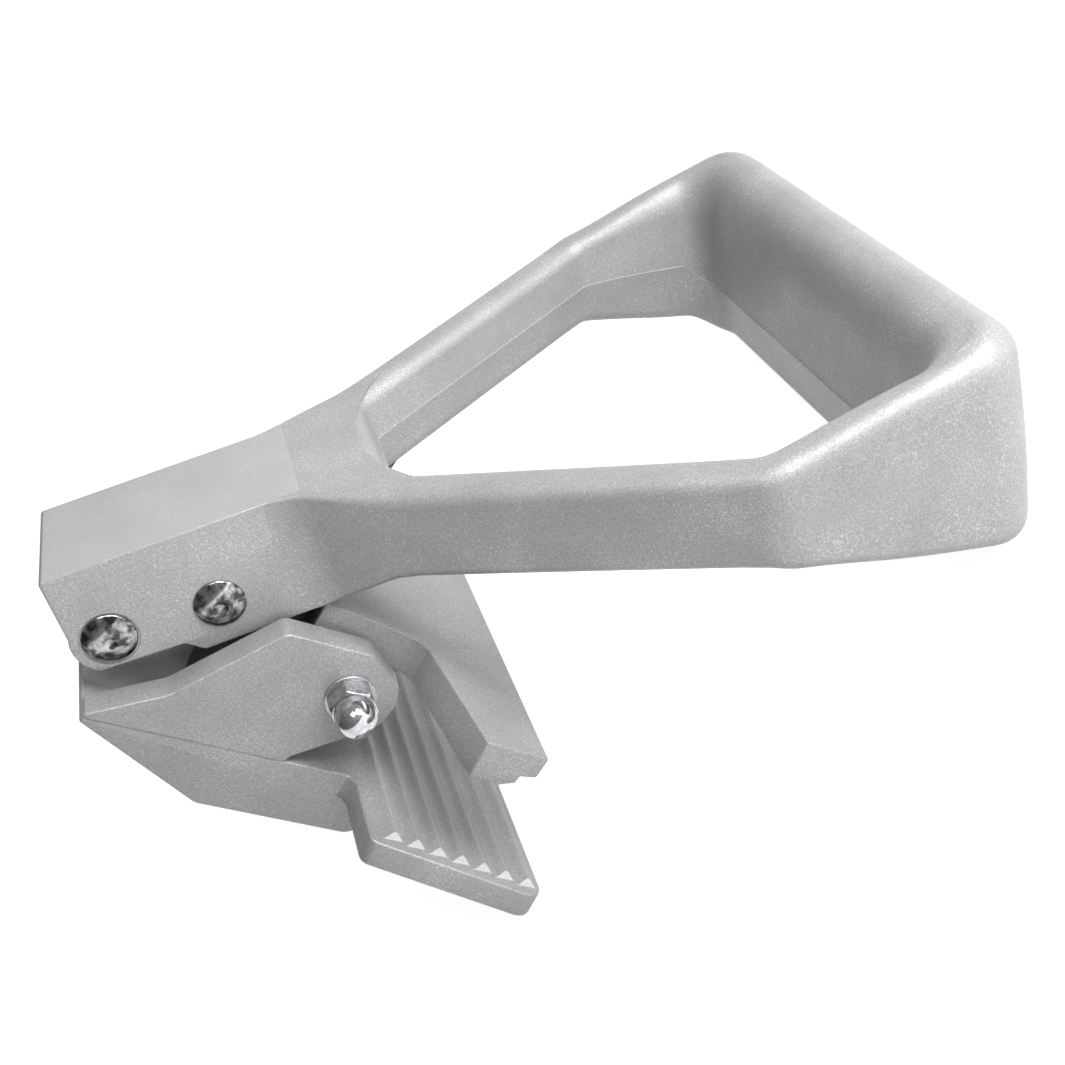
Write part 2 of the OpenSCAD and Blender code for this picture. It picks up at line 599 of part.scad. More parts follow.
module upper_jaw() {
    color(alloy) in_jaw() difference() {
        union() {
            rotate([0, open_tilt, 0]) {
                intersection() {
                    plate(-far, far) bar_profile();
                    linear_extrude(far, center = true) jaw_plan();
                }
                plate(-hub_half + 2, hub_half - 2) hub_profile();
            }
            cross_pin([0, 0], hub_r, -hub_half, hub_half);
            plate(-tail_half, tail_half) tail_profile();
        }
        cross_pin([0, 0], sleeve_d / 2 + run_gap, -far, far);
        both_sides() cross_pin([0, 0], ear_r + 1.2, hub_half, far);
    }
}

// Rivets: a plain shank with a low domed head, dimpled by the setting tool, at each end.
module rivet(p, head_r, seat) {
    dome = 2.4;
    color(steel) stand() {
        cross_pin(p, rivet_r, -seat - eps, seat + eps);
        both_sides() translate([p[0], seat, p[1]]) rotate([-90, 0, 0]) difference() {
            rotate_extrude() polygon(concat([[0, 0], [head_r - 0.3, 0], [head_r, 0.3]],
                [for (k = [0 : 5]) [head_r * cos(15 * k), 0.5 + (head_h - 0.5) * sin(15 * k)]],
                [[0, head_h]]));
            translate([0, 0, head_h + dome - 0.35]) sphere(r = dome);
        }
    }
}
module front_rivet() { rivet(front_pin, front_head_d / 2, neck_half - spot_depth); }
module rear_rivet() { rivet(rear_pin, rear_head_d / 2, neck_half); }

// A tube on a cross axis, between two distances from the middle.
module tube(p, r_out, r_in, y0, y1) {
    difference() {
        cross_pin(p, r_out, y0, y1);
        cross_pin(p, r_in, y0 - 1, y1 + 1);
    }
}
module lug_bush(side) {
    color(bronze) stand() mirror([0, side < 0 ? 1 : 0, 0])
        tube(front_pin, lug_bush_d / 2, rivet_r + run_gap, lug_in, lug_in + lug_t);
}
module lug_bush_near() { lug_bush(-1); }
module lug_bush_far() { lug_bush(1); }
module cam_sleeve() {
    color(steel) stand() tube(rear_pin, cam_r, rivet_r, -lug_in + side_gap, lug_in - side_gap);
}
module spacer(side) {
    color(steel) stand() mirror([0, side < 0 ? 1 : 0, 0])
        tube(rear_pin, cam_r + 1, rivet_r, lug_in - side_gap, channel_half);
}
module spacer_near() { spacer(-1); }
module spacer_far() { spacer(1); }

// Pivot: bolt, the sleeve clamped between the ears, washers, and the cap nut on the near side.
nut_h = 12;
nut_hex = 5;
thread_in_nut = 8;
washer_d = 12;
washer_t = 0.8;
seat_y = hull_half + washer_t;
module hex_prism(h) {
    intersection() {
        cylinder(r = hex_af / sqrt(3), h = h, $fn = 6);
        rotate_extrude() polygon([[0, 0], [hex_af * 0.53, 0], [hex_af * 0.58, 0.5],
                                  [hex_af * 0.58, h - 0.5], [hex_af * 0.53, h], [0, h]]);
    }
}
module pivot_bolt() {
    color(steel) stand() {
        cross_pin(pivot, bolt_d / 2, -seat_y - thread_in_nut, seat_y + eps);
        translate([pivot_x, seat_y, -pivot_z]) rotate([-90, 0, 0]) hex_prism(0.4 * hex_af);
    }
}
module pivot_sleeve() {
    color(steel) stand() tube(pivot, sleeve_d / 2, bolt_d / 2 + run_gap, -ear_in, ear_in);
}
module washer(side) {
    color(steel) stand() mirror([0, side < 0 ? 1 : 0, 0])
        tube(pivot, washer_d / 2, bolt_d / 2 + bolt_gap, hull_half, seat_y);
}
module washer_near() { washer(-1); }
module washer_far() { washer(1); }
module cap_nut() {
    dome_r = hex_af * 0.475;
    color(steel) stand() translate([pivot_x, -seat_y, -pivot_z]) rotate([90, 0, 0]) difference() {
        union() {
            hex_prism(nut_hex);
            cylinder(r = dome_r, h = nut_h - dome_r);
            translate([0, 0, nut_h - dome_r]) sphere(r = dome_r);
        }
        translate([0, 0, -1]) cylinder(r = bolt_d / 2, h = thread_in_nut + 1.5);
    }
}

// The jaw's frame inside the tool's frame, and the tool set down on its feet.
module in_jaw() {
    stand() translate([pivot_x, 0, -pivot_z]) rotate([0, jaw_angle, 0]) children();
}
function from_jaw(p) = pivot + turn(p, -jaw_angle);
tip_foot = from_jaw([paddle_tip, paddle_n]);
heel_c = [handle_l - grip_foot, -grip_low + grip_foot];
feet = heel_c - tip_foot;
stand_angle = atan2(feet[1], feet[0]) - asin(grip_foot / hyp(feet));
function stood(p) = turn(p, -stand_angle);
stand_pts = [for (p = loft_pts) stood([p[0], p[2]])];
low_z = min([for (p = stand_pts) p[1]]);
high_x = max([for (p = stand_pts) p[0]]);
keel_arc = from_jaw([keel_s, hull_n] + keel_round * [0.25, 1]);
low_x = stood(keel_arc)[0] - keel_round;
module stand() {
    translate([-(low_x + high_x) / 2, 0, -min(low_z, stood(tip_foot)[1])])
        rotate([0, stand_angle, 0]) children();
}

handle_frame();
lower_jaw();
upper_jaw();
front_rivet();
rear_rivet();
lug_bush_near();
lug_bush_far();
cam_sleeve();
spacer_near();
spacer_far();
pivot_bolt();
pivot_sleeve();
washer_near();
washer_far();
cap_nut();
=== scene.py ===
import math

import bmesh
import bpy
from mathutils import Matrix, Vector


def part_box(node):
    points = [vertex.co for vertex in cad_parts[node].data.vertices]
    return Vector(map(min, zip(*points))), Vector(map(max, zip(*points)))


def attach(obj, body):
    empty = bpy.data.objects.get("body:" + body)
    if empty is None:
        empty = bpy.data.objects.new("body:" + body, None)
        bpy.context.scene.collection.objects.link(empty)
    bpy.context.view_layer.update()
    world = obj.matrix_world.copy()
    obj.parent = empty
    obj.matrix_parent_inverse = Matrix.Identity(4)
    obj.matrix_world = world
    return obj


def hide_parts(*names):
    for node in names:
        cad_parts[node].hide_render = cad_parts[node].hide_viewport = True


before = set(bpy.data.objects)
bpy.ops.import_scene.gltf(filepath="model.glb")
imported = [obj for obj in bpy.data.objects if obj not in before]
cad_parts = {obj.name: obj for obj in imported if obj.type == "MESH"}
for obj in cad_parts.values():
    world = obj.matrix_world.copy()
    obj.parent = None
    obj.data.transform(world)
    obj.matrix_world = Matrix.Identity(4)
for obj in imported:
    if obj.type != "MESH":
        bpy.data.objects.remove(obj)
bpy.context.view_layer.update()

# Handle: one aluminium casting of neck, fork, two arms and grip, trimmed along its parting
# line, shot-blasted and clear coated. Two rivets through the neck carry it on the jaws. The
# sizes are millimetres, drawn with the neck's top level, X towards the grip and Z up.
MM = 0.001
FRONT_PIN = Vector((8.1, 0, -18.4))
REAR_PIN = Vector((32.7, 0, -19.4))
PIVOT = Vector((51.6, 0, -49.4))
HALF_NECK, NECK_WALL, NECK_ROOF = 16.5, 4.2, 4.5
NECK_DEPTH, REAR_DEPTH, LOBE_R = 26.3, 29.5, 8.6
FLAT_END, FLARE_X, CROTCH_X, SKIN_START = 58.0, 54.0, 76.8, 42.0
HALF_WIDTH, LENGTH = 72.5, 199.4
ARM_ANGLE = math.radians(32.3)
FLARE_R, BEND_R, INNER_BEND_R, CROTCH_R = 20.0, 14.0, 8.0, 5.0
ARM_WIDTH, ARM_DROP, ARM_HEIGHT = 10.4, 1.3, 22.3
SIDE_THICK, GRIP_THICK = 9.8, 18.5
GRIP_RISE, GRIP_LOW, CORNER_R = 9.5, 40.4, 13.0
ARM_ROUND, FOOT_ROUND, HAND_ROUND, HAND_FOOT = 4.4, 3.4, 4.2, 5.0
GRIP_ROUND, GRIP_FOOT, SLOPE_WIDE, SLOPE_HIGH = 8.0, 6.0, 9.8, 17.0
SKIN_IN, SHARP, PARTING = 0.03, 0.6, 0.3
SIDE_SWELL, CROTCH_SWELL, ARM_SWELL, BEND_SWELL, GRIP_SWELL = 0.06, 0.6, 1.1, 1.3, 2.3
ARM_BOTTOM = -ARM_DROP - ARM_HEIGHT


# The drawing is set down in the shared frame by its two cross axes, as they were packed.
def middle(node):
    low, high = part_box(node)
    return (low + high) / 2


packed_front, packed_pivot = middle("front_rivet"), middle("pivot_sleeve")
packed_front.y = packed_pivot.y = 0
drawn, packed = PIVOT - FRONT_PIN, packed_pivot - packed_front
STAND_TURN = math.atan2(drawn.z, drawn.x) - math.atan2(packed.z, packed.x)
STAND = (Matrix.Translation(packed_front) @ Matrix.Rotation(STAND_TURN, 4, "Y")
         @ Matrix.Scale(MM, 4) @ Matrix.Translation(-FRONT_PIN))


def finish_piece(bm, name, body, node, mats, matrix=None, crease=32):
    """A drawn mesh becomes an object at the origin that rides on a body."""
    if matrix:
        bm.transform(matrix)
    bmesh.ops.remove_doubles(bm, verts=bm.verts, dist=1e-4)
    bmesh.ops.recalc_face_normals(bm, faces=bm.faces)
    bm.transform(STAND)
    data = bpy.data.meshes.new(name)
    bm.to_mesh(data)
    bm.free()
    data.shade_smooth()
    data.set_sharp_from_angle(angle=math.radians(crease))
    for mat in mats:
        data.materials.append(mat)
    piece = bpy.data.objects.new(name, data)
    bpy.context.scene.collection.objects.link(piece)
    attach(piece, body)
    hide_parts(node)


def rounded(points, steps=6):
    """Corners are (x, y, radius); each becomes an arc."""
    out = []
    for i, (x, y, r) in enumerate(points):
        v = Vector((x, y))
        if r <= 0:
            out.append(v)
            continue
        a = (Vector(points[i - 1][:2]) - v).normalized()
        b = (Vector(points[(i + 1) % len(points)][:2]) - v).normalized()
        half = a.angle(b) / 2
        centre = v + (a + b).normalized() * (r / math.sin(half))
        start = v + a * (r / math.tan(half)) - centre
        end = v + b * (r / math.tan(half)) - centre
        swing = start.angle_signed(end)
        out += [centre + Matrix.Rotation(-swing * k / steps, 2) @ start for k in range(steps + 1)]
    return out


def arc(centre, radius, start, end, steps):
    angles = [math.radians(start + (end - start) * k / steps) for k in range(steps + 1)]
    return [Vector((centre[0] + radius * math.cos(a), centre[1] + radius * math.sin(a)))
            for a in angles]


def plate(points, low, high, up=False):
    """One face on (x, z) points, pulled across Y; or on (x, y) points, pulled up Z."""
    bm = bmesh.new()
    face = bm.faces.new([bm.verts.new((p[0], p[1], low) if up else (p[0], low, p[1]))
                         for p in points])
    pulled = bmesh.ops.extrude_face_region(bm, geom=[face])["geom"]
    way = Vector((0, 0, high - low)) if up else Vector((0, high - low, 0))
    bmesh.ops.translate(bm, verts=[v for v in pulled if isinstance(v, bmesh.types.BMVert)], vec=way)
    bmesh.ops.recalc_face_normals(bm, faces=bm.faces)
    return bm


def soften(bm, width, segments=3, angle=25):
    """Bevels the edges that fold more than the angle."""
    edges = [e for e in bm.edges if e.is_manifold and e.calc_face_angle(0) > math.radians(angle)]
    bmesh.ops.bevel(bm, geom=edges, offset=width, offset_type="OFFSET", affect="EDGES",
                    segments=segments, profile=0.5, material=-1, clamp_overlap=False)
    return bm


def join(target, *others):
    """Adds other closed shells to the first."""
    for other in others:
        data = bpy.data.meshes.new("part")
        other.to_mesh(data)
        other.free()
        target.from_mesh(data)
        bpy.data.meshes.remove(data)
    return target


def with_mirror(bm, merge=1e-3):
    """Adds the far half, and merges the two where they meet in the middle."""
    bmesh.ops.mirror(bm, geom=bm.verts[:] + bm.edges[:] + bm.faces[:], matrix=Matrix.Identity(4),
                     merge_dist=merge, axis="Y")
    bmesh.ops.recalc_face_normals(bm, faces=bm.faces)
    return bm


def boolean(bm, cutter, operation, tidy=True):
    """Joins or cuts two closed meshes exactly, through two work objects."""
    works = []
    for mesh in (bm, cutter):
        data = bpy.data.meshes.new("work")
        mesh.to_mesh(data)
        mesh.free()
        work = bpy.data.objects.new("work", data)
        bpy.context.scene.collection.objects.link(work)
        works.append(work)
    mod = works[0].modifiers.new("cut", "BOOLEAN")
    mod.operation, mod.solver, mod.object = operation, "EXACT", works[1]
    graph = bpy.context.evaluated_depsgraph_get()
    result = bmesh.new()
    result.from_mesh(works[0].evaluated_get(graph).to_mesh())
    for work in works:
        data = work.data
        bpy.data.objects.remove(work)
        bpy.data.meshes.remove(data)
    if tidy:
        bmesh.ops.dissolve_limit(result, angle_limit=math.radians(1), verts=result.verts,
                                 edges=result.edges)
    return result


# Seen from above, each arm lies between an outer and an inner path with equally many rows.
def mix(a, b, t):
    return a + (b - a) * t


def arm_at(x):
    return Vector((x, HALF_NECK + (x - FLARE_X) * math.tan(ARM_ANGLE)))


def bend_arc(before, corner, after, radius, steps):
    return rounded([(*before, 0), (*corner, radius), (*after, 0)], steps)[1:-1]


def between(a, b, steps):
    return [Vector(a).lerp(Vector(b), i / steps) for i in range(1, steps)]


FLARE_STEPS, WEB_STEPS, ARM_STEPS, BEND_STEPS, SIDE_STEPS = 10, 6, 10, 8, 8
skin_half = HALF_NECK - SKIN_IN
bend = (FLARE_X + (HALF_WIDTH - HALF_NECK) / math.tan(ARM_ANGLE), HALF_WIDTH)
window_half = HALF_WIDTH - SIDE_THICK
in_bend = (bend[0] + ARM_WIDTH * math.tan(ARM_ANGLE / 2), window_half)
grip_in = LENGTH - GRIP_THICK
crotch_half = arm_at(CROTCH_X).y - ARM_WIDTH / math.cos(ARM_ANGLE)
inner_r = CORNER_R - SIDE_THICK / 2
side_end = grip_in - inner_r
outer_flare = bend_arc((0, skin_half), (FLARE_X, skin_half), bend, FLARE_R, FLARE_STEPS)
outer_bend = bend_arc((FLARE_X, HALF_NECK), bend, (LENGTH, HALF_WIDTH), BEND_R, BEND_STEPS)
outer_corner = bend_arc((0, HALF_WIDTH), (LENGTH, HALF_WIDTH), (LENGTH, 0), CORNER_R, 12)
inner_crotch = bend_arc((CROTCH_X, 0), (CROTCH_X, crotch_half), in_bend, CROTCH_R, 9)
inner_bend = bend_arc((CROTCH_X, crotch_half), in_bend, (LENGTH, window_half), INNER_BEND_R,
                      BEND_STEPS)
turn_steps = [0, 4.8, 9.6, 14.4, 19.2, 24, 28.7, 33.3, 38, 42.7, 47.3, 52, 58, 64, 70, 76.7, 83.3,
              90]
inner_corner = [Vector((side_end, window_half - inner_r)) + inner_r * Vector(
    (math.sin(math.radians(a)), math.cos(math.radians(a)))) for a in turn_steps]
web_x = [mix(outer_flare[-1].x, CROTCH_X - HAND_ROUND, i / WEB_STEPS) for i in range(1, WEB_STEPS)]
past_crotch = [CROTCH_X + k * crotch_half for k in
               (-0.1, -0.04, 0.04, 0.12, 0.2, 0.28, 0.35, 0.43, 0.5, 0.545, 0.59, 0.635, 0.68,
                0.725, 0.77, 0.815, 0.86, 0.9)]
outer_path = (between((SKIN_START, skin_half), outer_flare[0], 3) + outer_flare
              + [arm_at(x) for x in web_x + past_crotch]
              + between(arm_at(past_crotch[-1]), outer_bend[0], ARM_STEPS) + outer_bend
              + between(outer_bend[-1], (side_end, HALF_WIDTH), SIDE_STEPS)
              + [Vector((side_end, HALF_WIDTH))]
              + between((side_end, HALF_WIDTH), outer_corner[0], 5) + outer_corner
              + between(outer_corner[-1], (LENGTH, 0), 6) + [Vector((LENGTH, 0))])
inner_path = ([Vector((p.x, 0)) for p in outer_path[:len(outer_flare) + 2]]
              + [Vector((x, 0)) for x in web_x]
              + [Vector((CROTCH_X, 0))] + between((CROTCH_X, 0), inner_crotch[0], 8) + inner_crotch
              + between(inner_crotch[-1], inner_bend[0], ARM_STEPS) + inner_bend
              + between(inner_bend[-1], inner_corner[0], SIDE_STEPS) + inner_corner
              + between(inner_corner[-1], (grip_in, 0), 6) + [Vector((grip_in, 0))])
flare_row = 2 + len(outer_flare) - 1
crotch_row = flare_row + len(web_x) + 1
arm_row = crotch_row + len(past_crotch) - 1
bend_row = arm_row + ARM_STEPS
side_row = bend_row + BEND_STEPS
corner_row = side_row + SIDE_STEPS
grip_row = corner_row + len(turn_steps) - 1
last_row = len(outer_path) - 1


def along(keys, x):
    """A smooth line through (place, value) keys that never overshoots them."""
    def rise(i):
        return (keys[i + 1][1] - keys[i][1]) / (keys[i + 1][0] - keys[i][0])

    def slope(i):
        if i in (0, len(keys) - 1):
            return 0
        a, b = rise(i - 1), rise(i)
        g, h = keys[i][0] - keys[i - 1][0], keys[i + 1][0] - keys[i][0]
        return 0 if a * b <= 0 else 3 * (g + h) / ((2 * h + g) / a + (h + 2 * g) / b)

    i = max([k for k in range(len(keys) - 1) if keys[k][0] <= x] or [0])
    h = keys[i + 1][0] - keys[i][0]
    t = max(0, min(1, (x - keys[i][0]) / h))
    return (keys[i][1] * (2 * t ** 3 - 3 * t ** 2 + 1) + h * slope(i) * (t ** 3 - 2 * t ** 2 + t)
            + keys[i + 1][1] * (3 * t ** 2 - 2 * t ** 3) + h * slope(i + 1) * (t ** 3 - t ** 2))


# Heights of the top and of both lower edges, by distance from the neck's front.
def up_to(t):
    return mix(-ARM_DROP, GRIP_RISE, t)


def down_to(t):
    return mix(ARM_BOTTOM, -GRIP_LOW, t)


def fork(t):
    return mix(-REAR_DEPTH + SKIN_IN, ARM_BOTTOM, t)


fork_end = CROTCH_X - 0.3 * HAND_ROUND
side_start, corner_start = outer_bend[-1].x, LENGTH - CORNER_R
mid_side = mix(side_start, corner_start, 0.5)
top_line = [(FLAT_END - 2, -SKIN_IN), (mix(FLAT_END, fork_end, 0.5), -0.5 * ARM_DROP),
            (fork_end, -ARM_DROP), (outer_bend[0].x, up_to(0.01)), (side_start, up_to(0.09)),
            (mid_side, up_to(0.47)), (corner_start, up_to(0.84)),
            (LENGTH - GRIP_ROUND, up_to(0.98)), (LENGTH, up_to(1))]
arm_low = [(fork_end, fork(1)), (outer_bend[0].x, down_to(0.01)), (side_start, down_to(0.12)),
           (mid_side, down_to(0.5))]
low_line = ([(FLARE_X - 2, fork(0)), (mix(FLARE_X, fork_end, 0.45), fork(0.5))] + arm_low
            + [(corner_start, down_to(0.85)), (LENGTH - GRIP_FOOT, down_to(1)),
               (LENGTH, down_to(1))])
hand_low_line = arm_low + [(side_end, along(low_line, side_end)),
                           (grip_in + HAND_FOOT, down_to(1)), (LENGTH, down_to(1))]
row_place = [0.0]
for a, b in zip(outer_path, outer_path[1:]):
    row_place.append(row_place[-1] + (b - a).length)


# Roundings along the skin, keyed to its rows: outer top, outer foot, width and height of the
# slope on the hand side, and how far the hand side swells to its parting line.
def keyed(*pairs):
    return [(row_place[row], value) for row, value in pairs]


round_keys = keyed((0, SHARP), (4, SHARP), (flare_row, 1.5), (crotch_row, 0.9 * ARM_ROUND),
                   (arm_row, ARM_ROUND), (corner_row, ARM_ROUND), (grip_row, GRIP_ROUND),
                   (last_row, GRIP_ROUND))
foot_keys = keyed((0, SHARP), (4, SHARP), (flare_row, 1.5), (crotch_row, FOOT_ROUND),
                  (corner_row, FOOT_ROUND), (grip_row, GRIP_FOOT), (last_row, GRIP_FOOT))
wide_keys = keyed((crotch_row, HAND_ROUND), (side_row, HAND_ROUND),
                  (corner_row, SIDE_THICK - ARM_ROUND - 0.6), (grip_row, SLOPE_WIDE),
                  (last_row, SLOPE_WIDE))
high_keys = keyed((crotch_row, HAND_ROUND), (side_row, HAND_ROUND), (corner_row, 2 * HAND_ROUND),
                  (grip_row, SLOPE_HIGH), (last_row, SLOPE_HIGH))
swell_keys = keyed((crotch_row, CROTCH_SWELL), (arm_row, ARM_SWELL), (side_row, BEND_SWELL),
                   (grip_row, GRIP_SWELL), (last_row, GRIP_SWELL))


def plan_normals(points, way, ends):
    """Directions from each point of a path into the metal."""
    normals = []
    for i in range(len(points)):
        d = points[min(i + 1, len(points) - 1)] - points[max(i - 1, 0)]
        normals.append(Vector((d.y, -d.x)).normalized() * way)
    for index, value in ends.items():
        normals[index] = Vector(value)
    return normals


out_in = plan_normals(outer_path, 1, {-1: (-1, 0)})
hand_in = plan_normals(inner_path, -1, {crotch_row: (-1, 0), -1: (1, 0)})


def quarter(width, height, steps=7):
    turns = [math.pi / 2 * k / steps for k in range(steps + 1)]
    return [(width * (1 - math.sin(a)), height * (1 - math.cos(a))) for a in turns]


def lift(p, z):
    return (p.x, p.y, z)


def borders(i):
    if i < crotch_row:
        return inner_path[i], inner_path[i]
    wide = along(wide_keys, row_place[i])
    return inner_path[i] + hand_in[i] * wide, inner_path[i] + hand_in[i] * HAND_FOOT


def outside(i):
    """From the top's inner border round the outside to the bottom's inner border."""
    o, n = outer_path[i], out_in[i]
    r, foot = along(round_keys, row_place[i]), along(foot_keys, row_place[i])
    p, q = borders(i)
    top, low = along(top_line, (o + n * r).x), along(low_line, (o + n * foot).x)
    p_top = along(top_line, p.x)
    q_low = along(low_line if i < crotch_row else hand_low_line, q.x)
    pts = [lift(p.lerp(o + n * r, k / 4), mix(p_top, top, k / 4)) for k in range(4)]
    pts += [lift(o + n * d, top - z) for d, z in quarter(r, r)]
    for k in range(1, 6):
        swell = SIDE_SWELL * r * math.sin(math.pi * k / 6)
        pts.append(lift(o - n * swell, mix(top - r, low + foot, k / 6)))
    pts += [lift(o + n * d, low + z) for d, z in reversed(quarter(foot, foot))]
    pts += [lift((o + n * foot).lerp(q, k / 4), mix(low, q_low, k / 4)) for k in range(1, 5)]
    return pts


def hand_side(i):
    """From the top's inner border down the hand side, over the parting line's small ledge, to
    the bottom's inner border."""
    p, n = inner_path[i], hand_in[i]
    t, q = borders(i)
    wide, high = along(wide_keys, row_place[i]), along(high_keys, row_place[i])
    top, low = along(top_line, t.x), along(hand_low_line, q.x)
    swell = along(swell_keys, row_place[i])
    pts = [lift(p + n * d, top - z) for d, z in quarter(wide, high, 9)]
    for k in range(1, 8):
        ledge = PARTING * (8 - k) / 4 if k > 4 else 0
        out = swell * (1 - abs(k - 4) / 4) + ledge
        z = mix(top - high, low + HAND_FOOT, k / 8)
        pts.append(lift(p - n * out, z))
        if k == 4:
            pts.append(lift(p - n * (out + PARTING), z - PARTING / 2))
    pts += [lift(p + n * d, low + z) for d, z in reversed(quarter(HAND_FOOT, HAND_FOOT))]
    return pts


def loft(bm, strips):
    """Bridges one strip of points to the next."""
    edges = []
    for strip in strips:
        verts = [bm.verts.new(p) for p in strip]
        edges.append([bm.edges.new(pair) for pair in zip(verts, verts[1:])])
    for one, two in zip(edges, edges[1:]):
        bmesh.ops.bridge_loops(bm, edges=one + two)
    return edges


skin = bmesh.new()
first = loft(skin, [outside(i) for i in range(last_row + 1)])[0]
loft(skin, [hand_side(i) for i in range(crotch_row, last_row + 1)])
skin.faces.new([first[0].verts[0]] + [e.verts[1] for e in first])
bmesh.ops.remove_doubles(skin, verts=skin.verts, dist=1e-3)
skin = with_mirror(skin)

# The neck: a channel open below, with a lobe round the front rivet and a step to the deeper
# rear part. Each side is spot faced for the front rivet's head, and a pocket behind the
# channel leaves room for the upper jaw's tail.
NOSE, NOSE_R, STEP_X, STEP_RUN, STEP_R, BACK_LIFT = -15.5, 0.8, 22.2, 3.5, 0.7, 1.5
CHANNEL_END, SLOPE_RUN, SLOPE_DROP, CUT_LOW, CUT_FRONT = 46.7, 3, 4, -60, -20
SPOT_R, SPOT_DEPTH, SPOT_TOOL, NECK_SOFT, TOP_SKIM = 6.6, 0.4, 4, 0.5, 0.2
ROOM_FRONT, ROOM_HALF, ROOM_TOP, ROOM_MID, ROOM_END = 20, 6.6, 2, (10, 9), (16, 16)
lobe = arc((FRONT_PIN.x, FRONT_PIN.z), LOBE_R, -124.3, -198, 14)
step_low, step_high = (STEP_X + STEP_RUN, -REAR_DEPTH), (STEP_X, -NECK_DEPTH)
neck_side = (rounded([(0, NOSE, 0), (0, 0, NOSE_R), (FLAT_END, 0, 0)], 3)
             + [Vector((FLAT_END, BACK_LIFT - REAR_DEPTH)), Vector((FLARE_X, -REAR_DEPTH))]
             + bend_arc((FLARE_X, -REAR_DEPTH), step_low, step_high, STEP_R, 3)
             + bend_arc(step_low, step_high, lobe[0], STEP_R, 3) + lobe)
neck = plate(neck_side, -HALF_NECK, HALF_NECK)
channel = [(CUT_FRONT, -NECK_ROOF), (CHANNEL_END - SLOPE_RUN, -NECK_ROOF),
           (CHANNEL_END, -NECK_ROOF - SLOPE_DROP), (CHANNEL_END, CUT_LOW), (CUT_FRONT, CUT_LOW)]
tail_room = [(ROOM_FRONT, -NECK_ROOF - ROOM_TOP), (CHANNEL_END, -NECK_ROOF - SLOPE_DROP),
             (CHANNEL_END + ROOM_MID[0], -NECK_ROOF - ROOM_MID[1]),
             (CHANNEL_END + ROOM_END[0], -NECK_ROOF - ROOM_END[1]),
             (CHANNEL_END + ROOM_END[0], CUT_LOW), (ROOM_FRONT, CUT_LOW)]
neck = boolean(neck, plate(channel, -HALF_NECK + NECK_WALL, HALF_NECK - NECK_WALL), "DIFFERENCE")
neck = boolean(neck, plate(tail_room, -ROOM_HALF, ROOM_HALF), "DIFFERENCE")
skin = boolean(skin, plate(tail_room, -ROOM_HALF, ROOM_HALF), "DIFFERENCE", tidy=False)
soften(neck, NECK_SOFT, 3, 28)
for way in (-1, 1):
    spot_at = FRONT_PIN + Vector((0, way * (HALF_NECK - SPOT_DEPTH + SPOT_TOOL / 2), 0))
    spot = bmesh.new()
    bmesh.ops.create_cone(spot, cap_ends=True, segments=96, radius1=SPOT_R, radius2=SPOT_R,
                          depth=SPOT_TOOL,
                          matrix=Matrix.Translation(spot_at) @ Matrix.Rotation(math.pi / 2, 4, "X"))
    neck = boolean(neck, spot, "DIFFERENCE", tidy=False)
for face in neck.faces:
    if face.calc_center_median().z > -TOP_SKIM and face.normal.z > 0.9:
        face.material_index = 1


def linear(hexcode):
    parts = [int(hexcode[i:i + 2], 16) / 255 for i in (0, 2, 4)]
    return tuple(c / 12.92 if c <= 0.04045 else ((c + 0.055) / 1.055) ** 2.4
                 for c in parts) + (1.0,)


def add(tree, kind, links=None, **settings):
    """Adds a node, sets its properties and sockets, and links its inputs."""
    node = tree.nodes.new(kind)
    for key, value in settings.items():
        if key in node.bl_rna.properties:
            setattr(node, key, value)
        else:
            node.inputs[key.replace("_", " ")].default_value = value
    for socket, source in (links or {}).items():
        tree.links.new(source, node.inputs[socket])
    return node


def new_material(name):
    mat = bpy.data.materials.new(name)
    mat.use_nodes = True
    tree = mat.node_tree
    tree.nodes.clear()
    shader = add(tree, "ShaderNodeBsdfPrincipled")
    add(tree, "ShaderNodeOutputMaterial", {"Surface": shader.outputs["BSDF"]})
    coords = add(tree, "ShaderNodeTexCoord")
    return mat, tree, shader, coords.outputs["Object"]


def colour_ramp(tree, source, *stops):
    node = add(tree, "ShaderNodeValToRGB", {"Fac": source})
    band = node.color_ramp.elements
    while len(band) < len(stops):
        band.new(0.5)
    for element, (place, hexcode) in zip(band, stops):
        element.position, element.color = place, linear(hexcode)
    return node.outputs["Color"]


# Blasted aluminium under clear coat: a light grey metal whose fine pits scatter the light, so
# that it looks matt from afar and sparkles close up. Over the grit's fine marks lie faint
# clouds, 16 mm wide, where the blast hit harder.
CLOUD_MM, CLOUD_DEPTH, COATED = 16, 0.35, 0.33


